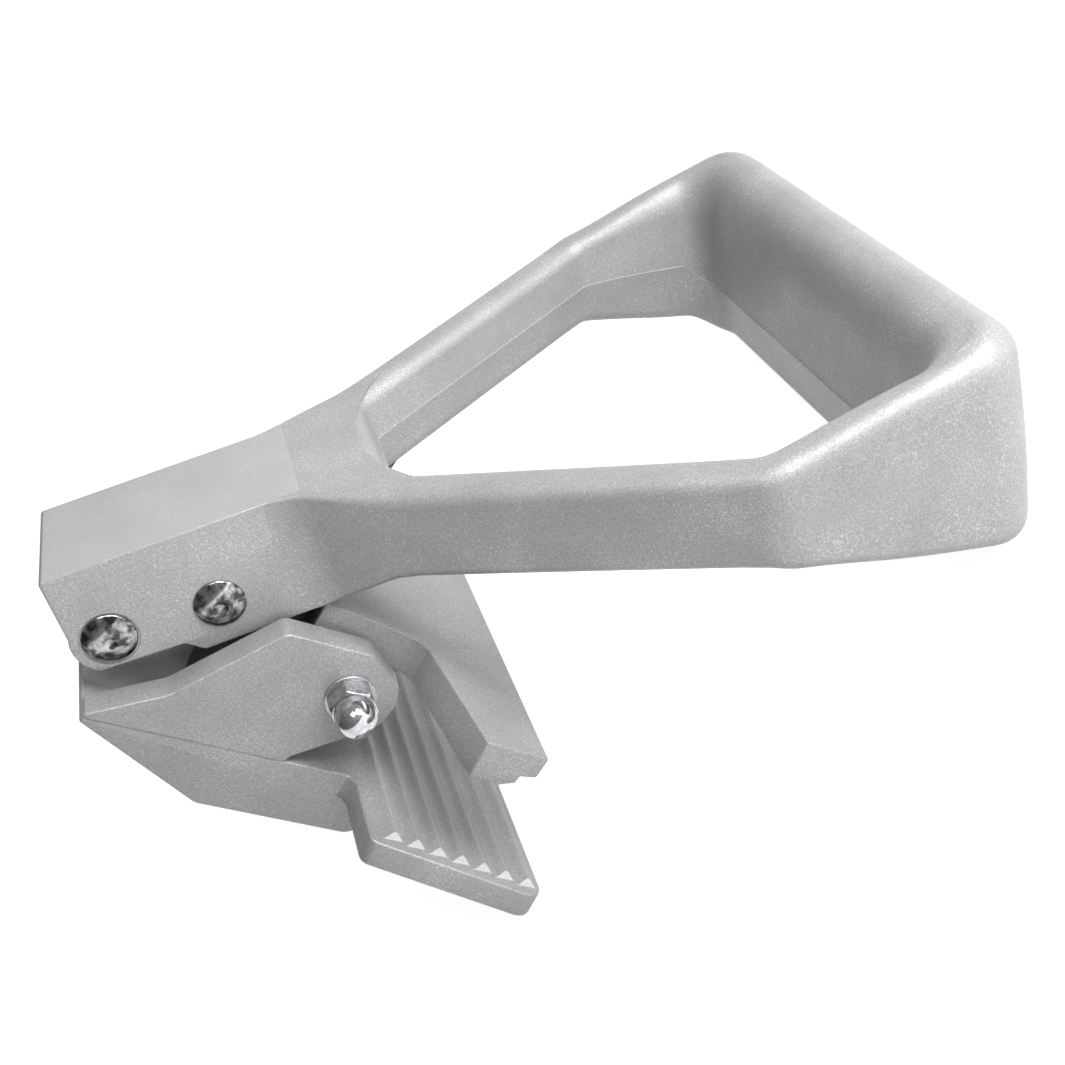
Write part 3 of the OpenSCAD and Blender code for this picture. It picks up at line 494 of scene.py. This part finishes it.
def blasted_aluminium(name, dark, light, spark, grit_mm, relief_mm, rough):
    mat, tree, shader, where = new_material(name)
    grit = add(tree, "ShaderNodeTexNoise", {"Vector": where}, Scale=1 / (grit_mm * MM), Detail=2.0,
               Roughness=0.65)
    clouds = add(tree, "ShaderNodeTexNoise", {"Vector": where}, Scale=1 / (CLOUD_MM * MM),
                 Detail=3.0, Roughness=0.5)
    faint = add(tree, "ShaderNodeMath", {0: clouds.outputs["Fac"]}, operation="MULTIPLY")
    faint.inputs[1].default_value = CLOUD_DEPTH
    tone = add(tree, "ShaderNodeMath", {0: grit.outputs["Fac"], 1: faint.outputs[0]},
               operation="ADD")
    colour = colour_ramp(tree, tone.outputs[0], (0.42, dark), (0.78, light), (0.92, spark))
    tree.links.new(colour, shader.inputs["Base Color"])
    shader.inputs["Metallic"].default_value = COATED
    gloss = add(tree, "ShaderNodeMapRange", {"Value": grit.outputs["Fac"]}, From_Min=0.3,
                From_Max=0.7, To_Min=rough + 0.08, To_Max=rough - 0.10)
    tree.links.new(gloss.outputs["Result"], shader.inputs["Roughness"])
    relief = add(tree, "ShaderNodeBump", {"Height": grit.outputs["Fac"]}, Strength=0.6,
                 Distance=relief_mm * MM)
    tree.links.new(relief.outputs["Normal"], shader.inputs["Normal"])
    return mat


HANDLE_CAST = blasted_aluminium("blasted_aluminium_handle", "999A9B", "B4B4B5", "D6D6D7", 0.40,
                                0.08, 0.52)
# The top of the neck is ground and blasted finely: lighter, smoother, with hardly any grain.
NECK_FLAT = blasted_aluminium("ground_aluminium", "A6A6A7", "BABABB", "C6C6C7", 0.30, 0.02, 0.5)
finish_piece(join(neck, skin), "handle", "handle", "handle_frame",
             [HANDLE_CAST, NECK_FLAT], crease=24)

# Lower jaw: an aluminium casting, blasted like the handle. A hull with leaning sides carries
# two cheeks that rise into ears round the pivot, two hinge lugs for the front rivet, and the
# wide serrated paddle that goes under the board.
JAW_ANGLE = math.radians(41.2)
EAR_IN, EAR_OUT, EAR_R = 17.6, 25.0, 11.2
FACE_N, HULL_N, HULL_LEAN, TAIL = -20.7, -38.7, 2.16, 54.0
PADDLE_T, PADDLE_FRONT, PADDLE_TIP, ROOT_HALF, TIP_HALF = 6.7, 10.0, 52.0, 47.5, 57.0
KEEL_BACK, KEEL_FRONT, KEEL_END, KEEL_R, FILLET = -22.1, 16.0, 27.8, 4.3, 4.4
HULL_CUT, HULL_IN, TAIL_DRAFT, TAIL_STEP, TAIL_R = 30, 0.1, 0.4, 1.6, 0.8
CHEEK_SUNK, CHEEK_TOE, CHEEK_RISE, CHEEK_TOP = 0.4, 0.8, (-38.5, -10.35, 9.5), 0.5
EAR_BACK, EAR_FRONT, EAR_NOSE, EAR_CHIN = -19.8, 1.2, (9.4, 5.4), (5.5, -9.6)
HEEL, HEEL_UP, CHEEK_END = -6.8, 1.4, -7.6
FILLET_IN, ROOT_R, TIP_R = 1.2, 2.6, 4.2
HULL_SOFT, EAR_SOFT, LUG_SOFT = 0.7, 0.6, 0.5
RIDGES, RIDGE_PITCH, RIDGE_H, EDGE_LAND, HIP = 7, 5.38, 0.9, 3.0, 2.0
RIDGE_SUNK, RIDGE_FOOT, TIP_LAND = 0.02, 0.6, 0.4
# One wave's outline, in shares of its pitch and height.
WAVE = [(-0.64, 0.0), (-0.50, 0.10), (-0.34, 0.38), (-0.18, 0.74), (-0.05, 0.97), (0.04, 1.0),
        (0.13, 0.80), (0.22, 0.42), (0.29, 0.12), (0.36, 0.0)]
LUG_IN, LUG_OUT, LUG_R, LUG_SUNK, LUG_BACK, RIB_TOP, RIB_END = 6.6, 11.8, 7.2, 0.5, 1, 1.4, 4.5
# From a jaw's own drawing, with the pivot at its origin, to the tool's.
JAW_PLACE = Matrix.Translation(PIVOT) @ Matrix.Rotation(JAW_ANGLE, 4, "Y")


def turned(p, a):
    return Vector((p[0] * math.cos(a) - p[1] * math.sin(a),
                   p[0] * math.sin(a) + p[1] * math.cos(a)))


def to_jaw(x, z):
    return turned((x - PIVOT.x, z - PIVOT.z), JAW_ANGLE)


def cut_flat(bm, point, normal):
    """Cuts off what lies past a plane, and closes the cut."""
    cut = bmesh.ops.bisect_plane(bm, geom=bm.verts[:] + bm.edges[:] + bm.faces[:], plane_co=point,
                                 plane_no=normal, clear_outer=True)["geom_cut"]
    rim = [e for e in cut if isinstance(e, bmesh.types.BMEdge)]
    bmesh.ops.edgeloop_fill(bm, edges=rim)
    bmesh.ops.recalc_face_normals(bm, faces=bm.faces)


run_out = FACE_N - PADDLE_T + 0.5
hull = plate(rounded([(-TAIL, FACE_N, TAIL_R), (-TAIL - TAIL_DRAFT, FACE_N - TAIL_STEP, TAIL_R),
                      (KEEL_BACK, HULL_N, KEEL_R), (KEEL_FRONT, HULL_N, KEEL_R),
                      (KEEL_END, run_out, KEEL_R), (KEEL_END + KEEL_R, run_out, 0),
                      (KEEL_END + KEEL_R, FACE_N, 0)], 6), -HULL_CUT, HULL_CUT)
for way in (-1, 1):
    cut_flat(hull, Vector((0, way * (EAR_OUT - HULL_IN), FACE_N)),
             Vector((0, way * (FACE_N - HULL_N), -HULL_LEAN)).normalized())
ear_foot, ear_top = FACE_N - CHEEK_SUNK, EAR_R + CHEEK_TOP
ear = (rounded([(-TAIL, ear_foot, 0), (-TAIL, FACE_N + CHEEK_TOE, 0), CHEEK_RISE,
                (EAR_BACK, ear_top, 3), (EAR_FRONT, ear_top, 4), (*EAR_NOSE, 0)], 6)[:-1]
       + arc((0, 0), EAR_R, 36, -66, 18)
       + rounded([(*EAR_CHIN, 0), (HEEL, FACE_N + HEEL_UP, 1), (CHEEK_END, ear_foot, 0)], 3)[1:])
ears = with_mirror(soften(plate(ear, EAR_IN, EAR_OUT), EAR_SOFT), 0)

corner = EAR_OUT + FILLET - FILLET_IN
plan = (rounded([(PADDLE_FRONT, -ROOT_HALF, ROOT_R), (PADDLE_TIP, -TIP_HALF, TIP_R),
                 (PADDLE_TIP, TIP_HALF, TIP_R), (PADDLE_FRONT, ROOT_HALF, ROOT_R)], 6)
        + arc((PADDLE_FRONT - FILLET, corner), FILLET, 0, -90, 5)
        + [Vector((PADDLE_FRONT / 2, EAR_IN)), Vector((PADDLE_FRONT / 2, -EAR_IN))]
        + arc((PADDLE_FRONT - FILLET, -corner), FILLET, 90, 0, 5))
paddle = plate(plan, FACE_N - PADDLE_T, FACE_N, up=True)
hull = soften(boolean(hull, paddle, "UNION"), HULL_SOFT)


def ridge(s, half):
    """A low wave across the paddle, steeper towards the tip, its ends cut to sloping facets."""
    base, foot = FACE_N - RIDGE_SUNK, FACE_N - RIDGE_FOOT
    line = [(s + a * RIDGE_PITCH, base + b * RIDGE_H) for a, b in WAVE]
    bm = plate(line + [(line[-1][0], foot), (line[0][0], foot)], -half, half)
    for way in (-1, 1):
        cut_flat(bm, Vector((0, way * half, base)), Vector((0, way * RIDGE_H, HIP)).normalized())
    bm.normal_update()
    # The sloping end facets take the second material, which is a painted highlight.
    for face in bm.faces:
        if abs(face.normal.y) > 0.2:
            face.material_index = 1
    return bm


ridges = []
for i in range(RIDGES):
    at = PADDLE_TIP - EDGE_LAND - TIP_LAND - RIDGE_PITCH * i
    edge = mix(ROOT_HALF, TIP_HALF, (at - PADDLE_FRONT) / (PADDLE_TIP - PADDLE_FRONT))
    ridges.append(ridge(at, edge - EDGE_LAND))

lug_pin = to_jaw(FRONT_PIN.x, FRONT_PIN.z)
rib_end = to_jaw(REAR_PIN.x - RIB_END, RIB_TOP - NECK_DEPTH)
lug_foot, lug_turn = FACE_N - LUG_SUNK, math.degrees(JAW_ANGLE)
lug = (arc(lug_pin, LUG_R, lug_turn, lug_turn + 180, 18)
       + [Vector((LUG_BACK - TAIL, lug_foot)), Vector((rib_end.x, lug_foot)), rib_end,
          to_jaw(FRONT_PIN.x + LUG_R, RIB_TOP - NECK_DEPTH)])
lugs = with_mirror(soften(plate(lug, LUG_IN, LUG_OUT), LUG_SOFT), 0)
# The jaws come from a finer blast than the handle, a shade darker and less grainy.
JAW_CAST = blasted_aluminium("blasted_aluminium_jaw", "8E8F90", "A8A8A9", "CCCCCD", 0.38, 0.07,
                             0.48)
# The end facets of the waves get a painted highlight: paler and nearly without grain.
FACET_HIGHLIGHT = blasted_aluminium("painted_highlight_aluminium", "BEBEBF", "D6D6D7", "EEEEEE", 0.38, 0.04, 0.44)
finish_piece(join(hull, ears, lugs, *ridges), "jaw_lower", "lower", "lower_jaw",
             [JAW_CAST, FACET_HIGHLIGHT], JAW_PLACE, crease=24)

# Upper jaw: an aluminium casting, blasted like the lower one. A wide clamp bar on a short
# neck, a hub that turns on the sleeve between the ears, and a slotted tail that reaches into
# the handle's channel, where the rear rivet's sleeve drives it.
OPEN_TILT = math.radians(1.6)
BAR_TOP, BAR_N, BAR_TIP, BAR_HALF, BAR_BACK, BAR_NECK = 16.0, 6.8, 34.7, 55.4, 19.3, 10.97
HUB_R, HUB_HALF, HUB_BACK, HUB_EDGE, WEB_IN, TAIL_HALF = 10.0, 17.0, -11.5, 0.6, 2.0, 6.0
JAW_RATIO, LIFT_MAX, SLOT_R, BOSS_R = 2.0, math.radians(17.5), 4.05, 7.65
TRACK_STEPS, TAIL_LEAN = 12, math.radians(-8)
# The stepped tip, back from the bar's end and down from its top or up from its underside.
TIP_DRAFT, TIP_DROP, NOTCH, NOTCH_UP, LIP, LIP_UP = 0.4, 5.5, 4.1, 3.0, 4.4, 1.1
PAD, PAD_DOWN, PAD_RUN, UNDER = 7.8, 0.4, 14, 5
WAIST, SHOULDER, SHOULDER_OUT, BAR_PAST = 2.6, 1.8, 5.6, 1
WEB_TOP, WEB_END, TAIL_BACK, TAIL_TOP, BOSS_BACK, BOSS_OUT = 0.6, 6, 2, 0.8, 2, 0.97
BAR_SOFT, WEB_SOFT, TAIL_SOFT, SLOT_CUT, BAR_CUT = 0.45, 0.5, 0.4, 9, 65
bar_side = rounded([(HUB_BACK, BAR_TOP, 0), (BAR_TIP, BAR_TOP, 0.6),
                    (BAR_TIP - TIP_DRAFT, BAR_TOP - TIP_DROP, 0.8),
                    (BAR_TIP - NOTCH, BAR_N + NOTCH_UP, 0.3), (BAR_TIP - LIP, BAR_N + LIP_UP, 0.3),
                    (BAR_TIP - PAD, BAR_N - PAD_DOWN, 1), (BAR_TIP - PAD_RUN, BAR_N, 0),
                    (UNDER, BAR_N, 0), (HUB_BACK, BAR_N, 0)], 4)
half_plan = [(HUB_BACK, HUB_HALF - WEB_IN, 1), (0, HUB_HALF, 4), (BAR_NECK, HUB_HALF + WAIST, 5),
             (BAR_NECK + SHOULDER, HUB_HALF + SHOULDER_OUT, 3), (BAR_BACK, BAR_HALF, 0.8),
             (BAR_TIP + BAR_PAST, BAR_HALF, 0.3)]
bar_plan = rounded([(s, -y, r) for s, y, r in half_plan] + half_plan[::-1], 5)
bar = boolean(plate(bar_side, -BAR_CUT, BAR_CUT), plate(bar_plan, -BAR_CUT, BAR_CUT, up=True),
              "INTERSECT")
soften(bar, BAR_SOFT, 3, 28)
web_top, web_end = BAR_TOP - WEB_TOP, BAR_BACK - WEB_END
web_side = ([(HUB_BACK, web_top), (web_end, web_top), (web_end, BAR_N)]
            + arc((0, 0), HUB_R, -30, -180, 16) + [(HUB_BACK, BAR_N)])
web = soften(plate(web_side, WEB_IN - HUB_HALF, HUB_HALF - WEB_IN), WEB_SOFT)
bar = join(bar, web)
bar.transform(Matrix.Rotation(OPEN_TILT, 4, "Y"))


def revolve(outline, steps=64):
    """Spins an outline of (radius, height) points about Z into a closed solid."""
    bm = bmesh.new()
    verts = [bm.verts.new((max(r, 0.0), 0, z)) for r, z in outline]
    edges = [bm.edges.new(pair) for pair in zip(verts, verts[1:])]
    bmesh.ops.spin(bm, geom=verts + edges, cent=(0, 0, 0), axis=(0, 0, 1), angle=2 * math.pi,
                   steps=steps, use_merge=True)
    bmesh.ops.remove_doubles(bm, verts=bm.verts, dist=1e-4)
    bmesh.ops.recalc_face_normals(bm, faces=bm.faces)
    return bm


hub = revolve([(0, -HUB_HALF), (HUB_R - HUB_EDGE, -HUB_HALF), (HUB_R, -HUB_HALF + HUB_EDGE),
               (HUB_R, HUB_HALF - HUB_EDGE), (HUB_R - HUB_EDGE, HUB_HALF), (0, HUB_HALF)])
hub.transform(Matrix.Rotation(math.pi / 2, 4, "X"))


def flat(pin):
    return Vector((pin.x, pin.z))


def slot_point(a):
    """Where the rear rivet stands in the upper jaw's drawing after a turn of the handle."""
    moved = flat(FRONT_PIN) + turned(flat(REAR_PIN) - flat(FRONT_PIN), a) - flat(PIVOT)
    return turned(moved, JAW_ANGLE + a * JAW_RATIO)


track = [slot_point(LIFT_MAX * i / TRACK_STEPS) for i in range(TRACK_STEPS + 1)]


def band(radius, steps=24):
    """The outline that a disc leaves on its way along the track."""
    ways = [(track[min(i + 1, TRACK_STEPS)] - track[max(i - 1, 0)]).normalized()
            for i in range(TRACK_STEPS + 1)]
    left = [p + radius * Vector((-d.y, d.x)) for p, d in zip(track, ways)]
    other = [p - radius * Vector((-d.y, d.x)) for p, d in zip(track, ways)]
    turns = [math.pi * k / steps for k in range(1, steps)]
    return (other + [track[-1] + turned(other[-1] - track[-1], a) for a in turns]
            + left[::-1] + [track[0] + turned(left[0] - track[0], a) for a in turns])


tail_body = [(HUB_BACK + TAIL_BACK, BAR_TOP - TAIL_TOP),
             track[0] + Vector((BOSS_BACK, BOSS_R * BOSS_OUT)), track[0], track[-1],
             track[-1] + turned((0, -BOSS_R), TAIL_LEAN), turned((0, -HUB_R), TAIL_LEAN), (0, 0)]
tail = boolean(plate(band(BOSS_R), -TAIL_HALF, TAIL_HALF),
               plate(tail_body, -TAIL_HALF, TAIL_HALF), "UNION")
tail = boolean(tail, plate(band(SLOT_R), -SLOT_CUT, SLOT_CUT), "DIFFERENCE")
soften(tail, TAIL_SOFT, 2, 28)
finish_piece(join(bar, hub, tail), "jaw_upper", "upper", "upper_jaw", [JAW_CAST],
             JAW_PLACE, crease=28)

# Rivets: polished steel with painted dark reflections, set cold through the neck. Each shank ends
# on both sides in a low dome with a rolled rim and the dimple that the setting tool leaves.
DOME_H, RIM_H, FRONT_HEAD_R, REAR_HEAD_R, SHANK_R = 2.4, 0.4, 6.0, 5.7, 3.0
DIMPLE, DOME_START = [(0, 0.85), (0.5, 0.80), (0.95, 0.64), (1.3, 0.45), (1.6, 0.28)], 79
# The rolled rim's points, out from the head's radius and up from its seat.
RIM = [(0.05, RIM_H - 0.1), (0, 0.2), (-0.25, 0.0)]


# Turned, punched or polished metal: a reflection that marks of the given width blur and tint.
def turned_metal(name, dark, light, rough, mark_mm, depth_mm, low=0.35, high=0.65):
    mat, tree, shader, where = new_material(name)
    marks = add(tree, "ShaderNodeTexNoise", {"Vector": where}, Scale=1 / (mark_mm * MM), Detail=2.0)
    tree.links.new(colour_ramp(tree, marks.outputs["Fac"], (low, dark), (high, light)),
                   shader.inputs["Base Color"])
    shader.inputs["Metallic"].default_value = 1.0
    gloss = add(tree, "ShaderNodeMapRange", {"Value": marks.outputs["Fac"]}, To_Min=rough,
                To_Max=1.5 * rough + 0.04)
    tree.links.new(gloss.outputs["Result"], shader.inputs["Roughness"])
    relief = add(tree, "ShaderNodeBump", {"Height": marks.outputs["Fac"]}, Strength=0.3,
                 Distance=depth_mm * MM)
    tree.links.new(relief.outputs["Normal"], shader.inputs["Normal"])
    return mat


# Dark patches 2 mm wide, a painted reflection, break the polish of the rivets' domes.
MOTTLED_REFLECTION = turned_metal("rivet_steel_painted_reflection", "49494B", "BEBEC1", 0.08, 2.2, 0.05, 0.38, 0.64)


def rivet(name, pin, head_r, seat, node):
    """Both heads and the shank between them, about Z, then turned across the neck."""
    cap = DOME_H - RIM_H
    dome_r = (head_r ** 2 + cap ** 2) / (2 * cap)
    spread = math.degrees(math.asin(head_r / dome_r))
    dome = arc((0, DOME_H - dome_r), dome_r, DOME_START, 90 - spread, 18)
    head = ([(r, DOME_H - depth) for r, depth in DIMPLE] + [tuple(p) for p in dome]
            + [(head_r + out, up) for out, up in RIM] + [(SHANK_R, 0.0), (SHANK_R, -seat)])
    half = revolve(head, 72)
    half.transform(Matrix.Translation(pin + Vector((0, seat, 0)))
                   @ Matrix.Rotation(-math.pi / 2, 4, "X"))
    finish_piece(with_mirror(half), name, "handle", node, [MOTTLED_REFLECTION], crease=45)


rivet("rivet_front", FRONT_PIN, FRONT_HEAD_R, HALF_NECK - SPOT_DEPTH, "front_rivet")
rivet("rivet_rear", REAR_PIN, REAR_HEAD_R, HALF_NECK, "rear_rivet")

# Pivot bolt and cap nut: M6, zinc-plated steel, polished. The bolt goes through both ears and
# the cap nut, a chamfered hexagon with a ball end, is screwed on from the near side.
SEAT, ACROSS, NUT_HEX, NUT_H, BALL_R, HEAD_T, BOLT_R = 25.8, 10.0, 5.0, 12.0, 4.75, 4.0, 3.0
CHAMFER, FACE_IN, CONE_GAP, HEX_SOFT = 0.55, 0.1, 0.05, 0.12
BOLT_PAST, SHANK_IN, BALL_SUNK = 8, 0.5, 1
# Zinc plate polished bright: a clear mirror, faintly uneven.
POLISHED = turned_metal("polished_zinc_plate", "BCBCBF", "DADADD", 0.05, 1.4, 0.02)


def hexagon(height):
    """A hexagon with both ends chamfered by a turned cone."""
    corner_r = ACROSS / math.sqrt(3)
    bm = bmesh.new()
    bmesh.ops.create_cone(bm, cap_ends=True, segments=6, radius1=corner_r, radius2=corner_r,
                          depth=height, matrix=Matrix.Translation((0, 0, height / 2)))
    face_r, cone_r = ACROSS / 2 - FACE_IN, corner_r + CONE_GAP
    cone = revolve([(0, 0), (face_r, 0), (cone_r, CHAMFER), (cone_r, height - CHAMFER),
                    (face_r, height), (0, height)], 72)
    return soften(boolean(bm, cone, "INTERSECT"), HEX_SOFT, 1, 35)


ball_foot = NUT_HEX - BALL_SUNK
ball = revolve([(0, ball_foot), (BALL_R, ball_foot)]
               + [tuple(p) for p in arc((0, NUT_H - BALL_R), BALL_R, 0, 90, 16)], 72)
nut = join(hexagon(NUT_HEX), ball)
nut.transform(Matrix.Translation(PIVOT - Vector((0, SEAT, 0)))
              @ Matrix.Rotation(math.pi / 2, 4, "X"))
finish_piece(nut, "nut_cap", "lower", "cap_nut", [POLISHED], crease=30)
bolt_low, bolt_high = -SEAT - BOLT_PAST, SEAT + SHANK_IN
shank = revolve([(0, bolt_low), (BOLT_R, bolt_low), (BOLT_R, bolt_high), (0, bolt_high)], 48)
head = hexagon(HEAD_T)
bmesh.ops.translate(head, verts=head.verts, vec=(0, 0, SEAT))
bolt = join(head, shank)
bolt.transform(Matrix.Translation(PIVOT) @ Matrix.Rotation(-math.pi / 2, 4, "X"))
finish_piece(bolt, "bolt_pivot", "lower", "pivot_bolt", [POLISHED], crease=30)

# Washers: punched steel discs, zinc plated, clamped between the ears and the bolt's head on
# the far side and the cap nut on the near side.
HOLE_R, RING_R, RING_T, HOLE_EDGE, RING_EDGE = 3.2, 6.0, 0.8, 0.08, 0.1
# Punched plate: pale and matt, with a soft wide sheen.
PUNCHED = turned_metal("punched_zinc_plate", "B2B2B4", "CCCCCE", 0.34, 0.6, 0.02)


def washer(name, way, node):
    ring = revolve([(HOLE_R, HOLE_EDGE), (HOLE_R + 0.1, 0), (RING_R - 0.1, 0), (RING_R, RING_EDGE),
                    (RING_R, RING_T - RING_EDGE), (RING_R - 0.1, RING_T), (HOLE_R + 0.1, RING_T),
                    (HOLE_R, RING_T - HOLE_EDGE), (HOLE_R, HOLE_EDGE)], 64)
    ring.transform(Matrix.Translation(PIVOT + Vector((0, way * EAR_OUT, 0)))
                   @ Matrix.Rotation(-way * math.pi / 2, 4, "X"))
    finish_piece(ring, name, "lower", node, [PUNCHED])


washer("disc_near", -1, "washer_near")
washer("disc_far", 1, "washer_far")

# Bushes in the hinge lugs: turned bronze, pressed in. They keep the shape that they were
# packed with, and get the warm grey-brown of bronze with turning marks.
BRONZE = turned_metal("turned_bronze", "8A6A3C", "A88652", 0.32, 0.5, 0.02)
for node in ("lug_bush_near", "lug_bush_far"):
    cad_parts[node].data.materials.clear()
    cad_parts[node].data.materials.append(BRONZE)

# Sleeves and spacers: turned steel. The cam sleeve runs in the slot between two spacers on
# the rear rivet, and the pivot sleeve is clamped between the ears. All keep their shape, and
# are a plain grey metal with fine turning marks.
TURNED = turned_metal("turned_steel", "8E8F91", "A8A9AB", 0.30, 0.5, 0.02)
for node in ("cam_sleeve", "spacer_near", "spacer_far", "pivot_sleeve"):
    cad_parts[node].data.materials.clear()
    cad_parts[node].data.materials.append(TURNED)

# Studio: a plain pale floor that the camera and the polished parts see white, a room that is
# bright round its walls, brightest on the right and grey overhead, and four soft lamps.
FLOOR_R, FLOOR_GAP, FLOOR_GLOW = 9.0, 0.0002, 0.88
floor_mesh = bmesh.new()
bmesh.ops.create_circle(floor_mesh, cap_ends=True, segments=96, radius=FLOOR_R,
                        matrix=Matrix.Translation((0, 0, -FLOOR_GAP)))
floor_data = bpy.data.meshes.new("floor")
floor_mesh.to_mesh(floor_data)
floor_mesh.free()
floor = bpy.data.objects.new("floor", floor_data)
bpy.context.scene.collection.objects.link(floor)
paper = bpy.data.materials.new("pale_paper")
paper.use_nodes = True
tree = paper.node_tree
tree.nodes.clear()
light_path = add(tree, "ShaderNodeLightPath")
seen = add(tree, "ShaderNodeMath", {0: light_path.outputs["Is Camera Ray"],
                                    1: light_path.outputs["Is Glossy Ray"]}, operation="ADD")
seen = add(tree, "ShaderNodeMath", {0: seen.outputs[0],
                                    1: light_path.outputs["Is Transmission Ray"]},
           operation="ADD", use_clamp=True)
glow = add(tree, "ShaderNodeEmission", Strength=FLOOR_GLOW)
none = add(tree, "ShaderNodeEmission", Strength=0.0)
shown = add(tree, "ShaderNodeMixShader", {"Fac": seen.outputs[0], 1: none.outputs[0],
                                          2: glow.outputs[0]})
matt = add(tree, "ShaderNodeBsdfDiffuse", Color=linear("B2B2B2"))
both = add(tree, "ShaderNodeAddShader", {0: matt.outputs[0], 1: shown.outputs[0]})
add(tree, "ShaderNodeOutputMaterial", {"Surface": both.outputs[0]})
floor_data.materials.append(paper)

world = bpy.data.worlds.new("studio")
bpy.context.scene.world = world
world.use_nodes = True
tree = world.node_tree
tree.nodes.clear()
sky_at = add(tree, "ShaderNodeTexCoord")
sight = add(tree, "ShaderNodeSeparateXYZ", {"Vector": sky_at.outputs["Generated"]})
walls = colour_ramp(tree, sight.outputs["Z"], (0.05, "FFFFFF"), (0.16, "787878"))
side = add(tree, "ShaderNodeMapRange", {"Value": sight.outputs["X"]}, From_Min=-1.0, From_Max=0.6,
           To_Min=0.58, To_Max=2.3)
room = add(tree, "ShaderNodeBackground", {"Color": walls, "Strength": side.outputs["Result"]})
add(tree, "ShaderNodeOutputWorld", {"Surface": room.outputs[0]})


def lamp(name, at, aim, size, power):
    data = bpy.data.lights.new(name, "AREA")
    data.size, data.energy = size, power
    obj = bpy.data.objects.new(name, data)
    bpy.context.scene.collection.objects.link(obj)
    obj.location = at
    obj.rotation_euler = (Vector(aim) - Vector(at)).to_track_quat("-Z", "Y").to_euler()


HIGH_AIM, LOW_AIM = (0.02, 0.0, 0.08), (0.05, 0.0, 0.05)
lamp("key", (0.50, -0.29, 0.46), HIGH_AIM, 0.35, 4.4)
lamp("top", (0.20, -0.40, 0.70), HIGH_AIM, 0.3, 1.2)
lamp("fill", (0.33, -0.24, 0.17), LOW_AIM, 0.12, 0.34)
lamp("back", (0.12, 0.75, 0.55), HIGH_AIM, 0.7, 0.6)

# Camera: the photo's, found by fitting the neck, rivets and jaws to the picture. It stands
# in front and above, and looks a little to the right and down.
FOCAL_PX, PHOTO_PX, SENSOR, NEAR_CLIP = 1444.0, 1065.0, 36.0, 0.01
CAMERA_AT = Vector((69.47, -290.68, 147.21))
CAMERA_RIGHT = Vector((0.93343, -0.268401, -0.238052))
CAMERA_FORWARD = Vector((0.102239, 0.83504, -0.540607))
cam_data = bpy.data.cameras.new("camera")
cam_data.sensor_width, cam_data.lens = SENSOR, FOCAL_PX / PHOTO_PX * SENSOR
cam_data.clip_start = NEAR_CLIP
camera = bpy.data.objects.new("camera", cam_data)
bpy.context.scene.collection.objects.link(camera)
bpy.context.scene.camera = camera
back = -CAMERA_FORWARD.normalized()
right = (CAMERA_RIGHT - CAMERA_RIGHT.dot(back) * back).normalized()
axes = Matrix((right, back.cross(right), back)).transposed().to_4x4()
view = Matrix.Rotation(STAND_TURN, 4, "Y") @ axes
view.translation = STAND @ CAMERA_AT
camera.matrix_world = view

bpy.context.scene.view_settings.view_transform = "Standard"
